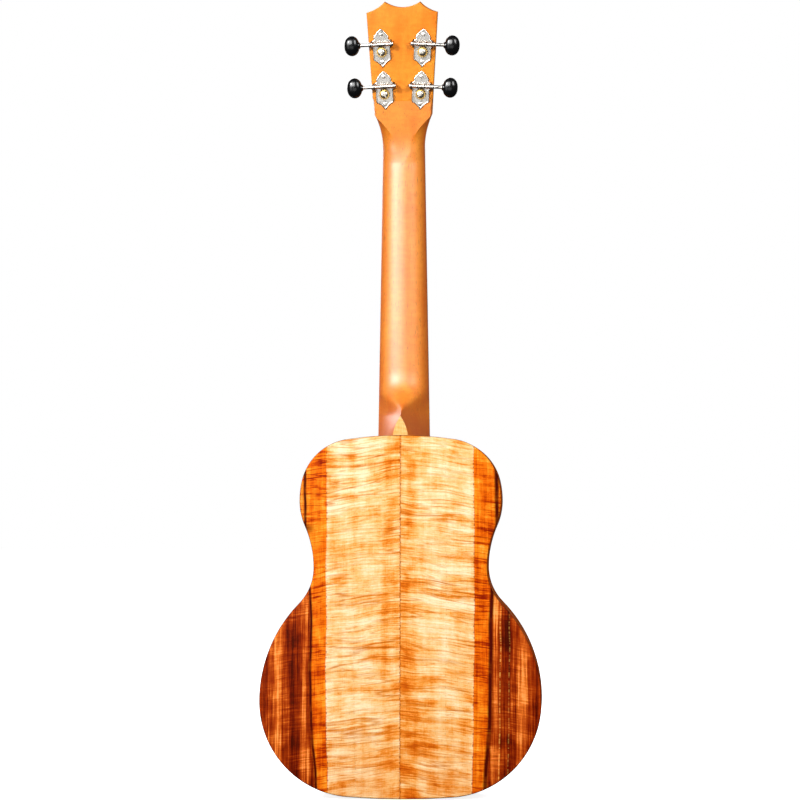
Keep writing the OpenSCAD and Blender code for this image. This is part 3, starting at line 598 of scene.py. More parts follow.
def slab(lines, radius, to_point, bottom_radius=0.0):
    """A plate between two levels whose outline is made of open lines, joined end to end by straight cuts.
    Each line is (points, inward normals). The edges along the lines are rounded, and the cuts are square.
    to_point turns (u, v, level, rise) into a place: level is 0 at the bottom and 1 at the top, and rise is
    how far the rounded edge is from that level."""
    quarter = [math.pi / 2 * k / 4 for k in range(5)]
    profile = [(0, 0, 0)]
    if bottom_radius:
        profile = [(bottom_radius * (1 - math.sin(a)), 0, bottom_radius * (1 - math.cos(a))) for a in quarter]
    profile += [(radius * (1 - math.cos(a)), 1, -radius * (1 - math.sin(a))) for a in quarter]
    verts, faces, columns = [], [], []
    for line, inward in lines:
        column = []
        for p, n in zip(line, inward):
            first = len(verts)
            verts += [to_point(p[0] + n[0] * inset, p[1] + n[1] * inset, level, rise)
                      for inset, level, rise in profile]
            column.append(range(first, len(verts)))
        for a, b in zip(column, column[1:]):
            faces += [(a[k], b[k], b[k + 1], a[k + 1]) for k in range(len(profile) - 1)]
        columns.append(column)
    faces.append(tuple(row[-1] for column in columns for row in column))
    faces.append(tuple(row[0] for column in columns for row in column))
    for a, b in zip(columns, columns[1:] + columns[:1]):
        faces.append(tuple(a[-1]) + tuple(reversed(b[0])))
    return verts, faces


def edge_normals(line):
    """Normals to the left that keep sharp corners: each is the mean of its two edges', stretched to match."""
    d = unit(np.diff(line, axis=0))
    n = np.column_stack([-d[:, 1], d[:, 0]])
    before, after = np.vstack([n[:1], n]), np.vstack([n, n[-1:]])
    mean = unit(before + after)
    stretch = np.clip(np.sum(mean * after, axis=1), 0.5, 1)
    return mean / stretch[:, None]


def board(line, radius, to_point, bottom_radius=0.0, clockwise=False):
    """A slab with one outline, drawn anticlockwise from right to left unless stated, and closed square."""
    line = np.array(line)
    inward = -edge_normals(line) if clockwise else edge_normals(line)
    inward[0], inward[-1] = (-1, 0), (1, 0)
    return slab([(line, inward)], radius, to_point, bottom_radius)


# ---------- Sound box ----------
EDGE_R = 1.4                            # rounding of the back's edge
TOP_R = 0.9                             # and of the soundboard's
EDGE_IN = -normals(BODY_EDGE)
RIB_T = 1.9
GROOVE = 0.12                           # hairline at each glue joint


def back_half(name, side):
    def to_point(u, v, level, rise):
        face = back_outer if level else back_inner
        return side * u, face(v) + rise, v
    part = slab([(BODY_EDGE, EDGE_IN)], EDGE_R, to_point, GROOVE)
    piece(f"back_{name}_board", part, KOA_BACK, f"back_{name}", sharp=50)


def hole_line(count=72):
    """The treble half of the sound hole, from its top down, with its outward normals."""
    outward = np.array([(math.sin(a), math.cos(a)) for a in np.linspace(0, math.pi, count)])
    outward[0, 0] = outward[-1, 0] = 0
    line = (0, HOLE.z) + HOLE_R * outward
    outward[0] = outward[-1] = 0
    return line, outward


def top_half(name, side):
    def to_point(u, v, level, rise):
        y = FRONT_Y + (0 if level else TOP_T)
        return side * max(u, 0), y - rise, v
    part = slab([(BODY_EDGE, EDGE_IN), hole_line()], TOP_R, to_point, GROOVE)
    piece(f"soundboard_{name}_board", part, KOA_TOP, f"soundboard_{name}", sharp=50)


def rib(name, side):
    """One bent side, as a closed strip whose outer corners are just eased."""
    rings, uv = [], []
    for p, n, s in zip(BODY_EDGE, EDGE_IN, run_along(BODY_EDGE)):
        y0, y1 = FRONT_Y + TOP_T, back_inner(p[1])
        ring = [(GROOVE, y0), (0, y0 + GROOVE), (0, (y0 + y1) / 2), (0, y1 - GROOVE), (GROOVE, y1),
                (RIB_T, y1), (RIB_T, y0)]
        uv += [(s, y + inset) for inset, y in ring]
        rings.append([(side * max(0, p[0] + n[0] * inset), y, p[1] + n[1] * inset) for inset, y in ring])
    piece(f"rib_{name}", skin(rings), KOA_SIDE, f"side_{name}", uv=uv, sharp=50)


def rosette_ring():
    inner, outer = ROSETTE
    base, top = FRONT_Y + 0.8, FRONT_Y - 0.08
    profile = [(inner, base), (inner, top + 0.04), (inner + 0.1, top), (outer - 0.1, top),
               (outer, top + 0.04), (outer, base)]
    rings = [[(r * math.cos(a), y, HOLE.z + r * math.sin(a)) for r, y in profile] for a in circle(144)]
    piece("rosette_inlaid", skin(rings + rings[:1], caps=False), inlay(), "rosette")


for part_name, part_side in (("bass", -1), ("treble", 1)):
    back_half(part_name, part_side)
    top_half(part_name, part_side)
    rib(part_name, part_side)
rosette_ring()
coat(SPRUCE, "top_linings", "back_linings", "top_braces", "back_braces", "bridge_plate", "back_centre_strip")
coat(MAHOGANY, "neck_block", "tail_block")


# ---------- Neck ----------
cap_high = corners("heel_cap")[1]
CAP_HALF = cap_high.x
CAP_LENGTH = cap_high.z - BODY_LENGTH
CAP_T = 2.5
CAP_SWELL = 1.05                        # how far its edges stand outside straight lines
HEEL_RUN = 46.0                         # length of the heel's curve above the cap's point
HEEL_CURVE = 3.3                        # how hard the heel's back turns into the neck's
HEEL_BLEND = 23.0                       # length over which its keel fades into the round neck
HEEL_FULL = back_outer(BODY_LENGTH) - FRONT_Y - CAP_T - 0.4
SHAFT_T = 15.5                          # thickness of the neck where the heel's curve starts
NECK_T = 13.0                           # and behind the nut, as on the headstock
FLARE = 29.0                            # length of the headstock's flare
CORNER_HALF = 24.4                      # half width where the flare ends
HEAD_SPREAD = 0.0643                    # widening of each side of the headstock above that, per millimetre
SCARF = (12.0, 41.0)                    # where the scarf joint meets the headstock's face and its back
Z_POINT = BODY_LENGTH + CAP_LENGTH
Z_SHAFT = Z_POINT + HEEL_RUN


def board_half(z):
    """Half width of the fretboard, and of the neck under it."""
    slope = (board_high.x - NUT_HALF) / (Z_NUT - board_low.z)
    return NUT_HALF + slope * (Z_NUT - z)


def ease(t):
    t = min(1, max(0, t))
    return t * t * (3 - 2 * t)


def spine(z):
    """Thickness of the neck from the fretboard to the middle of its back."""
    if z <= Z_POINT:
        return HEEL_FULL
    if z < Z_SHAFT:
        return SHAFT_T + (HEEL_FULL - SHAFT_T) * (1 - (z - Z_POINT) / HEEL_RUN) ** HEEL_CURVE
    return SHAFT_T + (NECK_T - SHAFT_T) * (z - Z_SHAFT) / (Z_HEAD - Z_SHAFT)


SECTION = 28                            # points in half a section
HOLLOW = 1.25                           # how hollow the heel's flanks are


def section(half, depth, flat, lean, heel=0.0, cap=0.0, keel=None):
    """Half a cross-section of the neck as (x, y) points, from the front edge round to the middle of its back.
    flat is the half width of a flat on the back, which the round meets at lean degrees short of square.
    heel mixes in hollow flanks that aim at a keel, keel deep, and end cap from the middle."""
    row = []
    keel = keel or depth
    top = math.radians(90 - lean)
    for k in range(SECTION + 1):
        a = top * k / SECTION
        y = math.sin(a) / math.sin(top)
        x = flat + (half - flat) * (math.cos(a) - math.cos(top)) / (1 - math.cos(top))
        flank = half * (1 - y * depth / keel) ** HOLLOW
        flank += (cap - half * (1 - depth / keel) ** HOLLOW) * y ** 12
        x = (1 - heel) * x + heel * flank
        row.append((x, depth * y))
    for k in range(1, 5):
        row.append((row[SECTION][0] * (1 - k / 4), depth))
    return row


def section_ring(row, to_point):
    """A section and its mirror image as a ring of places."""
    ring = [to_point(x, y) for x, y in row]
    return ring + [to_point(-x, y) for x, y in reversed(row[:-1])]


def flare_half(z):
    """Half width of the neck and headstock at a distance up the headstock from the nut."""
    if z <= 0:
        return board_half(Z_HEAD + z)
    if z < FLARE:
        return NUT_HALF + (CORNER_HALF - NUT_HALF) * (z / FLARE) ** 2
    return CORNER_HALF + HEAD_SPREAD * (z - FLARE)


def cap_edge(t):
    """Half width of the heel cap at a share of its length, from the body to its point."""
    return CAP_HALF * (1 - t) + CAP_SWELL * 4 * t * (1 - t)


BEND = (-16.0, 12.0)                    # stretch over which the sections turn with the headstock
FLAT_START = 5.5                        # half width of the flat on the back at the nut
FLAT_LEAN = 34                          # degrees at which the round meets that flat on the flare
THROAT = 0.6                            # swelling behind the nut
THROAT_REACH = 12.0
RING_STEP = 1.5


def heel_ring(z):
    """The neck's section at a height below the headstock's bend."""
    cap = cap_edge((z - BODY_LENGTH) / CAP_LENGTH) if z < Z_POINT else 0
    cap = max(0.02, min(CAP_HALF, cap))
    keel = spine(z) + max(0, Z_POINT - z) * (HEEL_FULL - SHAFT_T) * HEEL_CURVE / HEEL_RUN
    row = section(board_half(z), spine(z), 0.0, 0.0, ease((Z_POINT + HEEL_BLEND - z) / HEEL_BLEND), cap, keel)
    return section_ring(row, lambda x, y: (x, FRONT_Y + y, z))


def flare_ring(s):
    """Its section at a distance up the headstock from the nut, turned as far as the headstock is there."""
    half = flare_half(s)
    flat = half
    if s < FLARE:
        flat = FLAT_START * ease((s - BEND[0]) / -BEND[0])
        flat += (CORNER_HALF - FLAT_START) * (max(0, s) / FLARE) ** 1.7
    depth = NECK_T + THROAT * max(0, 1 - abs(s) / THROAT_REACH) ** 2
    row = section(half, depth, min(flat, half - 1.1), FLAT_LEAN * ease(s / FLARE * 1.4))
    tilt = HEAD_TILT * ease((s - BEND[0]) / (BEND[1] - BEND[0]))
    out = Vector((0, math.cos(tilt), -math.sin(tilt)))
    start = HEAD @ Vector((0, 0, s)) if s > 0 else Vector((0, FRONT_Y, Z_HEAD + s))
    return section_ring(row, lambda x, y: tuple(start + out * y + Vector((x, 0, 0))))


def neck_rings():
    heights = list(np.linspace(BODY_LENGTH - 3, Z_POINT, 20))
    heights += [Z_POINT + HEEL_RUN * (1 - math.cos(math.radians(3 * k))) for k in range(1, 31)]
    heights += list(np.linspace(Z_SHAFT, Z_HEAD + BEND[0], 30)[1:])
    rises = list(np.arange(BEND[0] + RING_STEP, SCARF[1] + 1, RING_STEP)) + [SCARF[1] + RING_STEP]
    return [heel_ring(z) for z in heights] + [flare_ring(s) for s in rises]


def cut_mesh(verts, faces, keep_above, point, normal):
    """The part of a closed mesh on one side of a plane, closed again."""
    made = bmesh.new()
    rows = [made.verts.new(v) for v in verts]
    for face in faces:
        if len(set(face)) > 2:
            made.faces.new([rows[k] for k in face])
    cut = bmesh.ops.bisect_plane(made, geom=made.verts[:] + made.edges[:] + made.faces[:], plane_co=point,
                                 plane_no=normal, clear_inner=keep_above, clear_outer=not keep_above)
    rim = [e for e in cut["geom_cut"] if isinstance(e, bmesh.types.BMEdge)]
    bmesh.ops.edgeloop_fill(made, edges=rim)
    made.verts.index_update()
    out = [tuple(v.co) for v in made.verts], [tuple(v.index for v in f.verts) for f in made.faces]
    made.free()
    return out


SCARF_POINT = HEAD @ Vector((0, 0, SCARF[0]))
scarf_along = (HEAD.to_3x3() @ Vector((0, NECK_T, SCARF[1] - SCARF[0]))).normalized()
SCARF_NORMAL = scarf_along.cross(Vector((1, 0, 0))).normalized()
if SCARF_NORMAL.z < 0:
    SCARF_NORMAL = -SCARF_NORMAL

blank = skin(neck_rings())
shaft = cut_mesh(*blank, True, Vector((0, 0, BODY_LENGTH)), Vector((0, 0, 1)))
shaft = cut_mesh(*shaft, False, SCARF_POINT, SCARF_NORMAL)
piece("neck_shaft", shaft, MAHOGANY, "neck", sharp=28)

POST_CENTRES = [TO_HEAD @ joint_place(f"post_turn_{s}")[0] for s in STRINGS]
VENEER_T = -min((TO_HEAD @ p).y for p in points("head_veneer"))


def head_line(z_from):
    """The headstock's edge above a height, as a line from right to left with square ends at that height."""
    found = {}
    for p in points("head_veneer"):
        q = TO_HEAD @ p
        if all(math.hypot(q.x - c.x, q.z - c.z) > 6 for c in POST_CENTRES):
            found[(round(q.x, 1), round(q.z, 1))] = (q.x, q.z)
    middle = 60                         # the whole edge is in sight from this height
    ordered = sorted(found.values(),
                     key=lambda q: (math.atan2(q[1] - middle, q[0]) + math.pi / 2) % (2 * math.pi))
    half = flare_half(z_from) if z_from > 0 else NUT_HALF
    edge = [(half, z_from)] + [q for q in ordered if q[1] > z_from + 0.3] + [(-half, z_from)]
    dense = []
    for a, b in zip(edge, edge[1:]):
        steps = max(1, round(math.dist(a, b) / 4))
        dense += [tuple(a[i] + (b[i] - a[i]) * k / steps for i in (0, 1)) for k in range(steps)]
    return dense + edge[-1:]


def headstock_block():
    def to_point(u, v, level, rise):
        return tuple(HEAD @ Vector((u, (NECK_T if level else 0) + rise, v)))
    return board(head_line(SCARF[1] + RING_STEP), 1.1, to_point)


wedge = cut_mesh(*blank, True, SCARF_POINT, SCARF_NORMAL)
piece("headstock_body", joined(wedge, headstock_block()), HEADWOOD, "headstock", sharp=28)


def face_veneer():
    def to_point(u, v, level, rise):
        return tuple(HEAD @ Vector((u, (-VENEER_T if level else 0) - rise, v)))
    piece("headstock_veneer", board(head_line(0), 0.5, to_point), EBONY, "head_veneer", sharp=28)


face_veneer()


def heel_cap():
    line = [(cap_edge(t), BODY_LENGTH + 0.05 + CAP_LENGTH * t) for t in np.linspace(0, 1, 25)]
    line += [(-x, z) for x, z in reversed(line[:-1])]

    def to_point(u, v, level, rise):
        return u, back_outer(v) - (0 if level else CAP_T) + rise, v
    piece("heel_cap_arch", board(line, 0.4, to_point, GROOVE), KOA_CAP, "heel_cap", sharp=40)


heel_cap()


# ---------- Fretboard, frets, nut ----------
def fretboard():
    end, corner = board_low.z, 2.0
    line = [(board_half(z), z) for z in np.linspace(Z_NUT, end + corner, 40, endpoint=False)]
    line += [(board_half(end) - corner * (1 - math.cos(a)), end + corner * (1 - math.sin(a)))
             for a in np.linspace(0, math.pi / 2, 9)]
    line += [(-x, z) for x, z in reversed(line)]

    def to_point(u, v, level, rise):
        return u, FRONT_Y - (BOARD_T if level else 0) - rise, v
    piece("fingerboard", board(line, 0.5, to_point, clockwise=True), EBONY, "fretboard", sharp=40)


fretboard()


FRET_H = 0.95                           # height of the crown
FRET_HALF = 1.1                         # and half its width


def fret_heights():
    """Heights of the frets, from the middle of each of the CAD node's separate wires."""
    levels = sorted({round(p.z, 1) for p in points("frets")})
    groups = [[levels[0]]]
    for z in levels[1:]:
        if z - groups[-1][-1] > 3:
            groups.append([])
        groups[-1].append(z)
    return [(group[0] + group[-1]) / 2 for group in groups]


def fret_wire(z):
    """A low rounded crown on a narrow foot, whose ends are filed to a slope."""
    half = board_half(z) - 0.25
    ends = [(0.0, 0.15), (0.12, 0.5), (0.35, 0.8), (0.75, 1.0)]
    rings = []
    for x, scale in [(a - half, s) for a, s in ends] + [(half - a, s) for a, s in reversed(ends)]:
        ring = [(x, FRONT_Y - BOARD_T - FRET_H * scale * math.sin(a),
                 z + FRET_HALF * (0.6 + 0.4 * scale) * math.cos(a))
                for a in np.linspace(0, math.pi, 11)]
        rings.append(ring + [(x, FRONT_Y - BOARD_T + 0.4, z + side) for side in (-0.3, 0.3)])
    return skin(rings)


piece("fret_wires", joined(*[fret_wire(z) for z in fret_heights()]), STEEL, "frets")
coat(PEARL, "position_dots")

NUT_H = FRONT_Y - nut_low.y


def nut_block():
    """Its section is a list of heights over the neck and distances up from the fretboard's end."""
    profile = [(0, 0), (NUT_H - 1.0, 0)]
    profile += [(NUT_H - 1.0 + math.sin(a), 1.2 - 1.2 * math.cos(a))
                for a in np.linspace(0, math.pi / 2, 6)[1:]]
    profile += [(NUT_H - 0.5, 4.2), (NUT_H - 1.4, Z_HEAD - Z_NUT), (0, Z_HEAD - Z_NUT)]
    soft = 0.25                         # rounding of its two ends
    rings = [[(x, FRONT_Y - h * (1 - low / NUT_H), Z_NUT + z) for h, z in profile]
             for x, low in ((-NUT_HALF, soft), (-NUT_HALF + soft, 0), (NUT_HALF - soft, 0), (NUT_HALF, soft))]
    piece("nut_bone", skin(rings), BONE, "nut")


nut_block()


# ---------- Bridge and saddle ----------
bridge_low, bridge_high = corners("bridge")
saddle_low, saddle_high = corners("saddle")
BRIDGE_HALF = bridge_high.x
SADDLE_TOP = saddle_low.y
TIE_HALF = 31.0                         # half width of the raised middle that the strings are tied to
TIE_LENGTH = 9.0
TIE_H = 8.4


def bridge_block():
    """Sections of the middle and of the wings, as distances up from its lower edge and heights, and a blend
    between them along its width."""
    middle = [(0, 0), (0.2, 6.6), (0.9, 8.1), (2.2, 8.4), (7.4, 8.4), (8.6, 8.1), (TIE_LENGTH, 7.2),
              (TIE_LENGTH, 4.4), (9.6, 4.0), (11.6, 4.0), (12.2, 4.4), (12.2, 6.3), (12.8, 7.0), (17.6, 7.0),
              (19.2, 6.4), (21.2, 4.2), (22, 2.8), (22, 0)]
    wing = [(0, 0), (0.1, 1.9), (0.6, 2.6), (1.8, 3.2)]
    wing += [(z, 3.4) for z in (4, 6, 8, 9, 10, 11, 12, 13.4, 15, 17.4)]
    wing += [(19.2, 3.3), (21, 2.8), (21.9, 1.9), (22, 0)]
    # Each station is its place, the middle's share and a share of the height
    stations = [(BRIDGE_HALF, 0.0, 0.72), (BRIDGE_HALF - 0.5, 0.0, 0.93), (BRIDGE_HALF - 1.6, 0.0, 1.0),
                (TIE_HALF + 2.4, 0.0, 1.0), (TIE_HALF + 1.2, 0.25, 1.0), (TIE_HALF + 0.3, 0.85, 1.0),
                (TIE_HALF - 0.3, 1.0, 1.0), (TIE_HALF - 2, 1.0, 1.0)]
    stations = [(-x, share, high) for x, share, high in stations] + stations[::-1]
    rings = [[(x, FRONT_Y - (h0 + (h1 - h0) * share) * high, bridge_low.z + z0 + (z1 - z0) * share)
              for (z0, h0), (z1, h1) in zip(wing, middle)] for x, share, high in stations]
    piece("bridge_block", skin(rings), EBONY, "bridge", sharp=30)


def saddle_bar():
    z0, z1 = saddle_low.z, saddle_high.z
    end, base = saddle_high.x, saddle_high.y
    middle, half = (z0 + z1) / 2, (z1 - z0) / 2
    arch = [(SADDLE_TOP + 0.9 * (1 - math.sin(a)), middle - half * math.cos(a))
            for a in np.linspace(0, math.pi, 11)]
    drops = [(end, 0.5), (end - 0.5, 0.1), (end - 1.2, 0)]
    rings = [[(x, base, z0)] + [(x, y + drop, z) for y, z in arch] + [(x, base, z1)]
             for x, drop in [(-x, drop) for x, drop in drops] + drops[::-1]]
    piece("saddle_bone", skin(rings), BONE, "saddle")


bridge_block()
saddle_bar()


# ---------- Strings ----------
def tube(path, radius):
    """A round tube through points, with a parallel-carried ring at each one."""
    path = [Vector(p) for p in path]
    along = []
    for k in range(len(path)):
        a = (path[k] - path[k - 1]).normalized() if k else Vector()
        b = (path[k + 1] - path[k]).normalized() if k + 1 < len(path) else Vector()
        along.append((a + b).normalized())
    across = along[0].orthogonal().normalized()
    rings = []
    for p, t in zip(path, along):
        across = (across - t * across.dot(t)).normalized()
        other = t.cross(across)
        rings.append([tuple(p + radius * (math.cos(a) * across + math.sin(a) * other))
                      for a in circle(12)])
    return skin(rings)


WINDING_R = 2.5                         # radius of the post's waist, which the turns lie on


def tuner_matrix(name):
    """A tuner's own frame: origin on the post's axis at the back of the headstock, X out to the button."""
    post, y_axis = joint_place(f"post_turn_{name}")
    key, x_axis = joint_place(f"key_turn_{name}")
    matrix = Matrix((x_axis, y_axis, (key - post).normalized())).transposed().to_4x4()
    matrix.translation = post - y_axis * WORM_Y
    return matrix


WORM_Y = 4.4                            # height of the worm's axis and of the wheel's middle
CENTRES = (joint_place("key_turn_g")[0] - joint_place("post_turn_g")[0]).length
TUNERS = {s: tuner_matrix(s) for s in STRINGS}
FRONT_FACE = -NECK_T - VENEER_T         # the veneer's face, in a tuner's own frame
WAIST_TOP = FRONT_FACE - 2.6
STRING_HOLE_Y = FRONT_FACE - 9.4
HOLE_H = 5.0                            # height of the string holes in the tie block
TURNS = 2.75                            # of each string round its post
X_NUT = {s: 9.0 * (k - 1.5) for k, s in enumerate(STRINGS)}
X_SADDLE = {s: 14.0 * (k - 1.5) for k, s in enumerate(STRINGS)}
POST_R = 3.0
STRING_R = {"g": 0.36, "c": 0.48, "e": 0.41, "a": 0.33}
GAP = 0.12                              # clearance of a string from what it lies on


def string_run(name):
    """The taut run from the tie block to the post, and the tie round the block."""
    r, xs, xn = STRING_R[name], X_SADDLE[name], X_NUT[name]
    z0, z_saddle = bridge_low.z, (saddle_low.z + saddle_high.z) / 2
    over_saddle, over_nut = SADDLE_TOP - r - GAP, nut_low.y - r - GAP
    hole = FRONT_Y - HOLE_H
    path = [(xs, hole, z0 - 0.5), (xs, hole, z0 + TIE_LENGTH), (xs, hole - 0.6, z0 + TIE_LENGTH + 1.0),
            (xs, over_saddle + 0.35, z_saddle - 1.9), (xs, over_saddle, z_saddle - 0.8),
            (xs, over_saddle, z_saddle + 0.8)]
    path += [(xs + (xn - xs) * t, over_saddle + (over_nut - over_saddle) * t,
              z_saddle + (Z_NUT - z_saddle) * t) for t in (0.2, 0.4, 0.6, 0.8)]
    path += [(xn, over_nut, Z_NUT + 0.8), (xn, over_nut, Z_HEAD - 1.6), (xn, over_nut + 0.12, Z_HEAD + 0.2)]
    leave = WINDING_R + 3 * r + GAP
    path += [TUNERS[name] @ Vector((-leave, WAIST_TOP - 1.3 - r, z)) for z in (-1.0, 0.4)]
    # The tie, as places to one side of the string, heights over the soundboard and distances up the bridge
    side = 1 if name in "ea" else -1
    top, below, above = TIE_H + r + GAP, -r, TIE_LENGTH + r
    loop = [(0, HOLE_H, -0.2), (0.1, HOLE_H + 0.2, below - 0.5), (0.3, 7.4, below - 0.25), (0.5, top, 1.6),
            (1.0, top, 5.0), (1.5, top - 0.1, 8.4), (1.7, 6.8, above + 0.6), (0.9, HOLE_H + 0.2, above + 0.7),
            (-0.6, HOLE_H - 0.9, above + 0.8), (-1.5, 6.4, above + 0.7), (-1.7, top + 0.1, 7.2),
            (-1.5, top + 0.1, 3.4)]
    tie = spread([(xs + x * side, FRONT_Y - h, z0 + z) for x, h, z in loop], 60)
    part = joined(tube(path, r), tube(tie, r))
    piece(f"string_{name}_run", part, NYLON, f"string_{name}", sharp=60)


def string_coil(name):
    """The turns on the post, which rise to its hole, and the cut end beyond it."""
    r = STRING_R[name]
    ring = WINDING_R + r
    start = WAIST_TOP - 1.1 - r
    path = []
    for k in range(int(TURNS * 24) + 1):
        a = 2 * math.pi * k / 24
        path.append((-ring * math.cos(a), start - 2 * r * 1.03 * k / 24, ring * math.sin(a)))
    low = path[-1][1]
    for k in range(1, 7):
        t = k / 6
        a = 2 * math.pi * (TURNS + 0.25 * t)
        reach = ring + (POST_R + r - ring) * ease(t)
        path.append((-reach * math.cos(a), low + (STRING_HOLE_Y - low) * ease(t), reach * math.sin(a)))
    path += [(x, STRING_HOLE_Y - droop, z) for x, droop, z in
             ((-2.4, 0, 0), (0, 0, 0), (3.2, 0, 0), (5.2, 0.3, 0.2), (7.0, 0.9, 0.6))]
    piece(f"string_{name}_coil", tube(path, r), NYLON, f"string_winding_{name}",
          f"tuning_post_{name}", TUNERS[name], sharp=60)


# ---------- Tuners ----------
EAR_X = 8.2                             # distance of each ear from the post's axis
EAR_T = 1.2
EAR_R = 2.9
PLATE_T = 0.9
PLATE_SOFT = 0.5                        # rounding of the plate's stamped edge
TEETH = 14
WORM_R = 2.3                            # the worm's pitch radius
WORM_TURNS = 4
WHEEL_R = CENTRES - WORM_R              # the wheel's pitch radius
PITCH = 2 * math.pi * WHEEL_R / TEETH
TOOTH = 0.4 * PITCH
ABOVE, BELOW = 0.45, 0.58               # how far the teeth reach from the pitch line
JOURNAL_R = 1.5
WHEEL_T = 3.0
WHEEL_TOP = WORM_Y + WHEEL_T / 2
WHEEL_BASE = WORM_Y - WHEEL_T / 2
BUTTON_X = (18.3, 31.0)
BUTTON_WIDE = 16.9
BUTTON_THICK = 9.0
SCREW_Z = (14.6, -8.3)                  # the plate's two screws
WHEEL_SLOTS = {"g": 132, "c": 150, "e": 64, "a": 118}      # angles of the wheel screws' slots, in degrees


def plate_line():
    """The tuner plate's edge from its lower point, up the right and down the left."""
    half = [(0, -13.2), (0.8, -12.3), (1.4, -11.4)]
    half += [(2.2 + 4.4 * t, -10.6 + 3.2 * t + 0.5 * 4 * t * (1 - t)) for t in np.linspace(0, 1, 8)]
    half += [(7.15, -6.5), (7.3, -5.8), (7.3, -2), (7.3, 1.6), (6.9, 3.1), (7.6, 3.7), (9.1, 4.4), (9.1, 6.6),
             (9.1, 8.8), (7.4, 9.6), (6.0, 10.4), (6.4, 12.0), (6.2, 12.8)]
    half += [(6.2 * (1 - t) + 0.25 * 4 * t * (1 - t), 12.8 + 6.7 * t + 0.35 * 4 * t * (1 - t))
             for t in np.linspace(0.1, 1, 9)]
    return np.array(half + [(-x, z) for x, z in reversed(half[1:-1])] + [half[0]])


def plate_body():
    """The stamped plate, with a shallow step inside its rounded edge."""
    line = plate_line()
    inward = edge_normals(line)
    inward[0] = (0, 1)
    profile = [(0, 0), (0, PLATE_T - PLATE_SOFT)]
    profile += [(PLATE_SOFT * (1 - math.cos(a)), PLATE_T - PLATE_SOFT * (1 - math.sin(a)))
                for a in np.linspace(0, math.pi / 2, 4)[1:]]
    profile += [(0.8, PLATE_T), (0.95, PLATE_T - 0.1), (1.1, PLATE_T - 0.1)]
    return skin([[(p[0] + n[0] * inset, y, p[1] + n[1] * inset) for p, n in zip(line[:-1], inward)]
                 for inset, y in profile])


def ear(x):
    """One of the two tabs that carry the worm: a bent-up strip with a round head, and a folded root."""
    outline = [(-3.4, 0.0), (3.4, 0.0), (3.0, 0.6), (EAR_R, 1.6)]
    outline += [(EAR_R * math.cos(a), WORM_Y + EAR_R * math.sin(a)) for a in np.linspace(0, math.pi, 15)]
    outline += [(-EAR_R, 1.6), (-3.0, 0.6)]
    half, soft = EAR_T / 2, 0.2
    rings = []
    for dx, inset in ((-half, soft), (-half + soft, 0), (half - soft, 0), (half, soft)):
        scale = 1 - inset / EAR_R
        rings.append([(x + dx, WORM_Y + (y - WORM_Y) * scale if y else 0, CENTRES + z * scale)
                      for z, y in outline])
    return skin(rings)


def loose(name, made):
    """A throw-away object, from a bmesh in metres that stand for millimetres."""
    mesh = bpy.data.meshes.new(name)
    made.to_mesh(mesh)
    made.free()
    obj = bpy.data.objects.new(name, mesh)
    bpy.context.scene.collection.objects.link(obj)
    return obj


def slotted(radius, crown, base, slot_w, slot_d, angle, steps=40):
    """A domed screw head on the Y axis with a slot across it."""
    profile = [(radius, base), (radius, base + 0.25 * crown)]
    profile += [(radius * math.cos(a), base + crown * (0.25 + 0.75 * math.sin(a)))
                for a in np.linspace(0.15, 1.35, 7)]
    verts, faces = lathe(profile, steps)
    made = bmesh.new()
    rows = [made.verts.new(v) for v in verts]
    for face in faces:
        made.faces.new([rows[k] for k in face])
    bmesh.ops.recalc_face_normals(made, faces=made.faces)
    head = loose("head", made)
    made = bmesh.new()
    bmesh.ops.create_cube(made, size=1)
    middle = Matrix.Translation((0, base + crown - slot_d / 2 + 1, 0))
    shape = Matrix.Diagonal((radius * 3, slot_d + 2, slot_w, 1))
    bmesh.ops.transform(made, matrix=Matrix.Rotation(angle, 4, "Y") @ middle @ shape, verts=made.verts)
    cutter = loose("cutter", made)
    cut = head.modifiers.new("slot", "BOOLEAN")
    cut.object, cut.operation, cut.solver = cutter, "DIFFERENCE", "EXACT"
    bpy.context.view_layer.update()
    done = head.evaluated_get(bpy.context.evaluated_depsgraph_get()).to_mesh()
    out = [tuple(v.co) for v in done.vertices], [tuple(p.vertices) for p in done.polygons]
    bpy.data.objects.remove(head)
    bpy.data.objects.remove(cutter)
    return out


def along_worm(part):
    """A part turned from the Y axis to the worm's own."""
    return moved(part, Matrix.Translation((0, WORM_Y, CENTRES)) @ Matrix.Rotation(math.radians(-90), 4, "Z"))


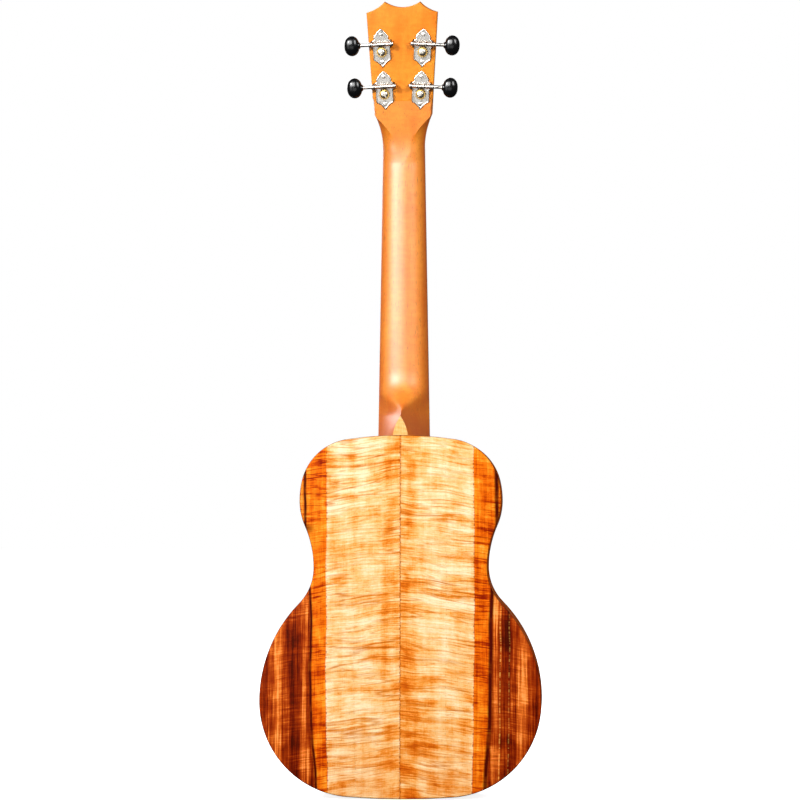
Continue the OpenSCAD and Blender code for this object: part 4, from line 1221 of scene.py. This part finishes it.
def worm():
    """The thread, which rises out of its core and runs out into it again, and the shaft out to the button."""
    root, crest = WORM_R - BELOW, WORM_R + ABOVE
    flank = math.tan(math.radians(20))
    tip_half, root_half = TOOTH / 2 - ABOVE * flank, TOOTH / 2 + BELOW * flank
    columns = 32
    last = WORM_TURNS * columns
    rings = []
    for k in range(last + 1):
        turn = k / columns - WORM_TURNS / 2
        a = 2 * math.pi * turn - math.pi / 2
        top = root - 0.15 + (crest - root + 0.15) * min(1, k / 5, (last - k) / 5)
        half = [(root_half + 0.1, root - 0.25), (root_half, root), (tip_half + 0.05, top - 0.08),
                (tip_half - 0.08, top)]
        ridge = [(-x, y) for x, y in half] + half[::-1]
        rings.append([(PITCH * turn + x, WORM_Y + y * math.cos(a), CENTRES + y * math.sin(a))
                      for x, y in ridge])
    inner, outer = EAR_X - EAR_T / 2 - 0.1, EAR_X + EAR_T / 2 + 0.1
    profile = [(0, -outer - 1.5), (1.1, -outer - 1.45), (1.7, -outer - 1.2), (2.05, -outer - 0.8),
               (2.1, -outer - 0.15), (2.0, -outer), (JOURNAL_R, -outer), (JOURNAL_R, -inner),
               (root - 0.1, -inner), (root, -inner + 0.1), (root, inner - 0.1), (root - 0.1, inner),
               (JOURNAL_R, inner), (JOURNAL_R, outer), (2.3, outer), (2.4, outer + 0.12),
               (2.4, outer + 0.9), (2.1, outer + 1.4), (1.6, outer + 1.7), (1.4, outer + 2.0), (1.4, 17.2),
               (1.6, 17.4), (2.2, 17.6), (2.3, 18.2), (2.3, 19.0), (0, 19.0)]
    return joined(skin(rings), along_worm(lathe(profile, 32)))


def button():
    """An oval knob, thinner than it is wide, with a collar that meets the shaft."""
    low, high = BUTTON_X
    count = 30
    rings = []
    for k in range(count + 1):
        a = math.pi * k / count
        x = low + (high - low) * (1 - math.cos(a)) / 2
        swell = math.sin(a) ** 0.86 / 2 if 0 < k < count else 0.0
        rings.append([(x, WORM_Y + BUTTON_THICK * swell * math.cos(b),
                       CENTRES + BUTTON_WIDE * swell * math.sin(b)) for b in circle(56)])
    collar = lathe([(0, 17.7), (2.3, 17.7), (2.6, 17.9), (2.9, 18.6), (3.1, 19.6), (0, 19.6)], 32)
    return joined(skin(rings, caps=False), along_worm(collar))


def wheel():
    """The worm wheel, whose teeth lean by the worm's lead and are chamfered at both faces, and its hub."""
    root, tip = WHEEL_R - BELOW, WHEEL_R + ABOVE
    lead = math.atan(PITCH / (2 * math.pi * WORM_R))
    flank = [(root, PITCH / 2 - 0.2), (root, TOOTH / 2 + 0.2), (tip, TOOTH / 2 - 0.18)]
    edge = []
    for t in range(TEETH):
        a = 2 * math.pi * (t + 0.5) / TEETH
        edge += [(a - half / WHEEL_R, r) for r, half in flank]
        edge += [(a + half / WHEEL_R, r) for r, half in flank[::-1]]
    rings = []
    for share, trim in ((0, 0.3), (0, 0), (0.25, 0), (0.5, 0), (0.75, 0), (1, 0), (1, 0.3)):
        y = WHEEL_BASE + WHEEL_T * share
        shift = math.tan(lead) * (y - WORM_Y) / WHEEL_R
        rings.append([((r - trim) * math.sin(a + shift), y, (r - trim) * math.cos(a + shift))
                      for a, r in edge])
    hub = lathe([(0, WHEEL_TOP - 0.05), (3.3, WHEEL_TOP - 0.05), (3.3, WHEEL_TOP + 0.18),
                 (3.1, WHEEL_TOP + 0.24), (0, WHEEL_TOP + 0.24)], 40)
    return joined(skin(rings), hub)


def post():
    """The post, waisted where the string winds, and the two rims of its string hole."""
    tip = FRONT_FACE - 13
    waist = [(POST_R, 0.2), (2.95, 0), (2.6, -0.7), (WINDING_R, -1.2), (WINDING_R, -4.4), (2.6, -4.9),
             (2.95, -5.6), (POST_R, -5.9)]
    profile = [(0, WHEEL_BASE), (POST_R - 0.2, WHEEL_BASE), (POST_R, WHEEL_BASE - 0.2)]
    profile += [(r, WAIST_TOP + y) for r, y in waist]
    profile += [(POST_R, tip + 0.9), (2.85, tip + 0.4), (2.5, tip + 0.1), (2.2, tip), (0, tip)]
    rim = lathe([(0.75, 2.2), (0.75, 3.02), (0.85, 3.1), (1.15, 3.06), (1.25, 2.9), (1.25, 2.2)], 20)
    middle = Matrix.Translation((0, STRING_HOLE_Y, 0))
    eyes = [moved(rim, middle @ Matrix.Rotation(math.radians(turn), 4, "Z")) for turn in (90, -90)]
    return joined(lathe(profile, 40), *eyes)


def bushing():
    """The ferrule that each post comes out of, on the headstock's face."""
    bore = POST_R + 0.12
    profile = [(bore, 2), (bore, -1.0), (bore + 0.18, -1.2), (4.6, -1.2), (4.9, -1.0), (5.3, -0.2),
               (5.3, 0.3), (4, 2)]
    return lathe([(r, FRONT_FACE + y) for r, y in profile], 40)


def tuner_piece(string, kind, part, material, node, turns=None, sharp=40):
    """A piece of one string's tuner. turns is the kind of body that it goes round with."""
    body = f"{turns}_{string}" if turns else ROOT
    piece(f"tuner_{string}_{kind}", part, material, f"{node}_{string}", body, TUNERS[string],
          sharp=sharp)


PLATE_PART = joined(plate_body(), ear(-EAR_X), ear(EAR_X))
for string in STRINGS:
    string_run(string)
    string_coil(string)
    head = slotted(3.0, 1.5, WHEEL_TOP + 0.15, 0.9, 1.3, math.radians(WHEEL_SLOTS[string]))
    tuner_piece(string, "plate", PLATE_PART, PLATE, "tuner_plate", sharp=38)
    tuner_piece(string, "worm", worm(), NICKEL, "worm_shaft", "tuning_key")
    tuner_piece(string, "button", button(), BLACK, "button", "tuning_key", sharp=60)
    tuner_piece(string, "wheel", wheel(), BRASS, "worm_wheel", "tuning_post", sharp=30)
    tuner_piece(string, "wheel_screw", head, SCREW, "wheel_screw", "tuning_post", sharp=35)
    tuner_piece(string, "post", post(), NICKEL, "post", "tuning_post")

screws = []
for string in STRINGS:
    for z in SCREW_Z:
        head = slotted(1.75, 0.75, PLATE_T - 0.15, 0.45, 0.4, math.radians(random.uniform(0, 180)), steps=28)
        screws.append(moved(head, TUNERS[string] @ Matrix.Translation((0, 0, z))))
bushings = [moved(bushing(), TUNERS[string]) for string in STRINGS]
piece("post_ferrules", joined(*bushings), NICKEL, "post_bushings")
piece("tuner_screws", joined(*screws), NICKEL, "plate_screws")


# ---------- Studio ----------
AMBIENT = (0.05, 0.15)                  # soft light from low down and from overhead


def floor():
    """A pale floor that stays bright far away, with a soft patch for the shadow under the instrument."""
    g = Graph("studio_floor", Roughness=0.9, Specular_IOR_Level=0.1)
    g.shader.inputs["Base Color"].default_value = (0.8, 0.8, 0.8, 1)
    g.shader.inputs["Emission Color"].default_value = (1, 1, 1, 1)
    x, y = g.place()[:2]
    away = g.math("SQRT", g.total(g.times(x, x), g.times(y, y)))
    g.put(g.shader.inputs["Emission Strength"], g.step(away, 20, 200, 0.85, 1.0))
    far = 12.0
    mesh = bpy.data.meshes.new("floor")
    mesh.from_pydata([(-far, -far, 0), (far, -far, 0), (far, far, 0), (-far, far, 0)], [], [(0, 1, 2, 3)])
    mesh.materials.append(g.material)
    obj = bpy.data.objects.new("floor", mesh)
    bpy.context.scene.collection.objects.link(obj)
    obj.location.z = CAD_BOX[0][2] - 0.0005
    # It is a backdrop, so its brightness neither lights the instrument nor shows in the metal
    obj.visible_diffuse = False
    obj.visible_glossy = False


def lamp(name, place, target, size, power, diffuse=True):
    """An area light, in metres and watts. Without diffuse it only shows in what shines."""
    data = bpy.data.lights.new(name, "AREA")
    data.shape = "RECTANGLE"
    data.size, data.size_y = size
    data.energy = power
    obj = bpy.data.objects.new(name, data)
    bpy.context.scene.collection.objects.link(obj)
    obj.location = place
    obj.rotation_euler = (Vector(target) - Vector(place)).to_track_quat("-Z", "Y").to_euler()
    obj.visible_diffuse = diffuse


def studio():
    world = bpy.data.worlds.new("studio")
    bpy.context.scene.world = world
    world.use_nodes = True
    tree = world.node_tree
    background = tree.nodes["Background"]
    background.inputs["Color"].default_value = (1, 1, 1, 1)
    # The backdrop is white to look at, and gives much softer light than that
    direction = tree.nodes.new("ShaderNodeTexCoord").outputs["Generated"]
    height = tree.nodes.new("ShaderNodeSeparateXYZ")
    tree.links.new(direction, height.inputs[0])
    level = tree.nodes.new("ShaderNodeMapRange")
    level.inputs["From Min"].default_value = -1.0
    level.inputs["To Min"].default_value, level.inputs["To Max"].default_value = AMBIENT
    tree.links.new(height.outputs["Z"], level.inputs["Value"])
    seen = tree.nodes.new("ShaderNodeLightPath").outputs["Is Camera Ray"]
    strength = tree.nodes.new("ShaderNodeMath")
    strength.operation = "MAXIMUM"
    tree.links.new(level.outputs[0], strength.inputs[0])
    tree.links.new(seen, strength.inputs[1])
    tree.links.new(strength.outputs[0], background.inputs["Strength"])
    middle = Vector((0, 0, 0.36))

    def behind(x, z, distance):
        """A place at that distance from the middle, x to the side and z up for each metre behind."""
        return middle + distance * Vector((x, 1.0, z)).normalized()

    lamp("key", behind(0.8, 0.55, 2.6), middle, (0.2, 0.2), 54)
    lamp("window", behind(0.9, 0.1, 1.8), middle, (0.9, 1.6), 6)
    lamp("fill", behind(-0.7, 0.55, 2.0), middle, (0.6, 0.9), 25)
    lamp("front_fill", (0.9, -2.0, 1.5), middle, (1.4, 1.4), 34)
    # The neck's soft highlight, and a low card that the tilted tuner plates mirror
    lamp("sheen", behind(0.5, 0.42, 1.9), middle, (1.7, 0.9), 78, diffuse=False)
    lamp("card", (0.1, 1.4, 0.07), (0, 0, 0.63), (0.9, 0.4), 1.7)
    scene = bpy.context.scene
    scene.view_settings.view_transform = "Standard"
    scene.view_settings.look = "None"


def camera():
    """From behind the instrument and a little to its bass side, at the height of its sound hole."""
    azimuth, elevation = math.radians(182.9), math.radians(-1.8)
    distance, span = 2.6, 0.669
    aim = Vector((0.0019, 0.0, 0.329))
    data = bpy.data.cameras.new("camera")
    data.sensor_width = 36
    data.lens = data.sensor_width * distance / span
    data.clip_end = 50
    obj = bpy.data.objects.new("camera", data)
    bpy.context.scene.collection.objects.link(obj)
    level = math.cos(elevation)
    obj.location = aim + distance * Vector((level * math.sin(azimuth), -level * math.cos(azimuth),
                                            math.sin(elevation)))
    obj.rotation_euler = (aim - obj.location).to_track_quat("-Z", "Y").to_euler()
    bpy.context.scene.camera = obj


floor()
studio()
camera()
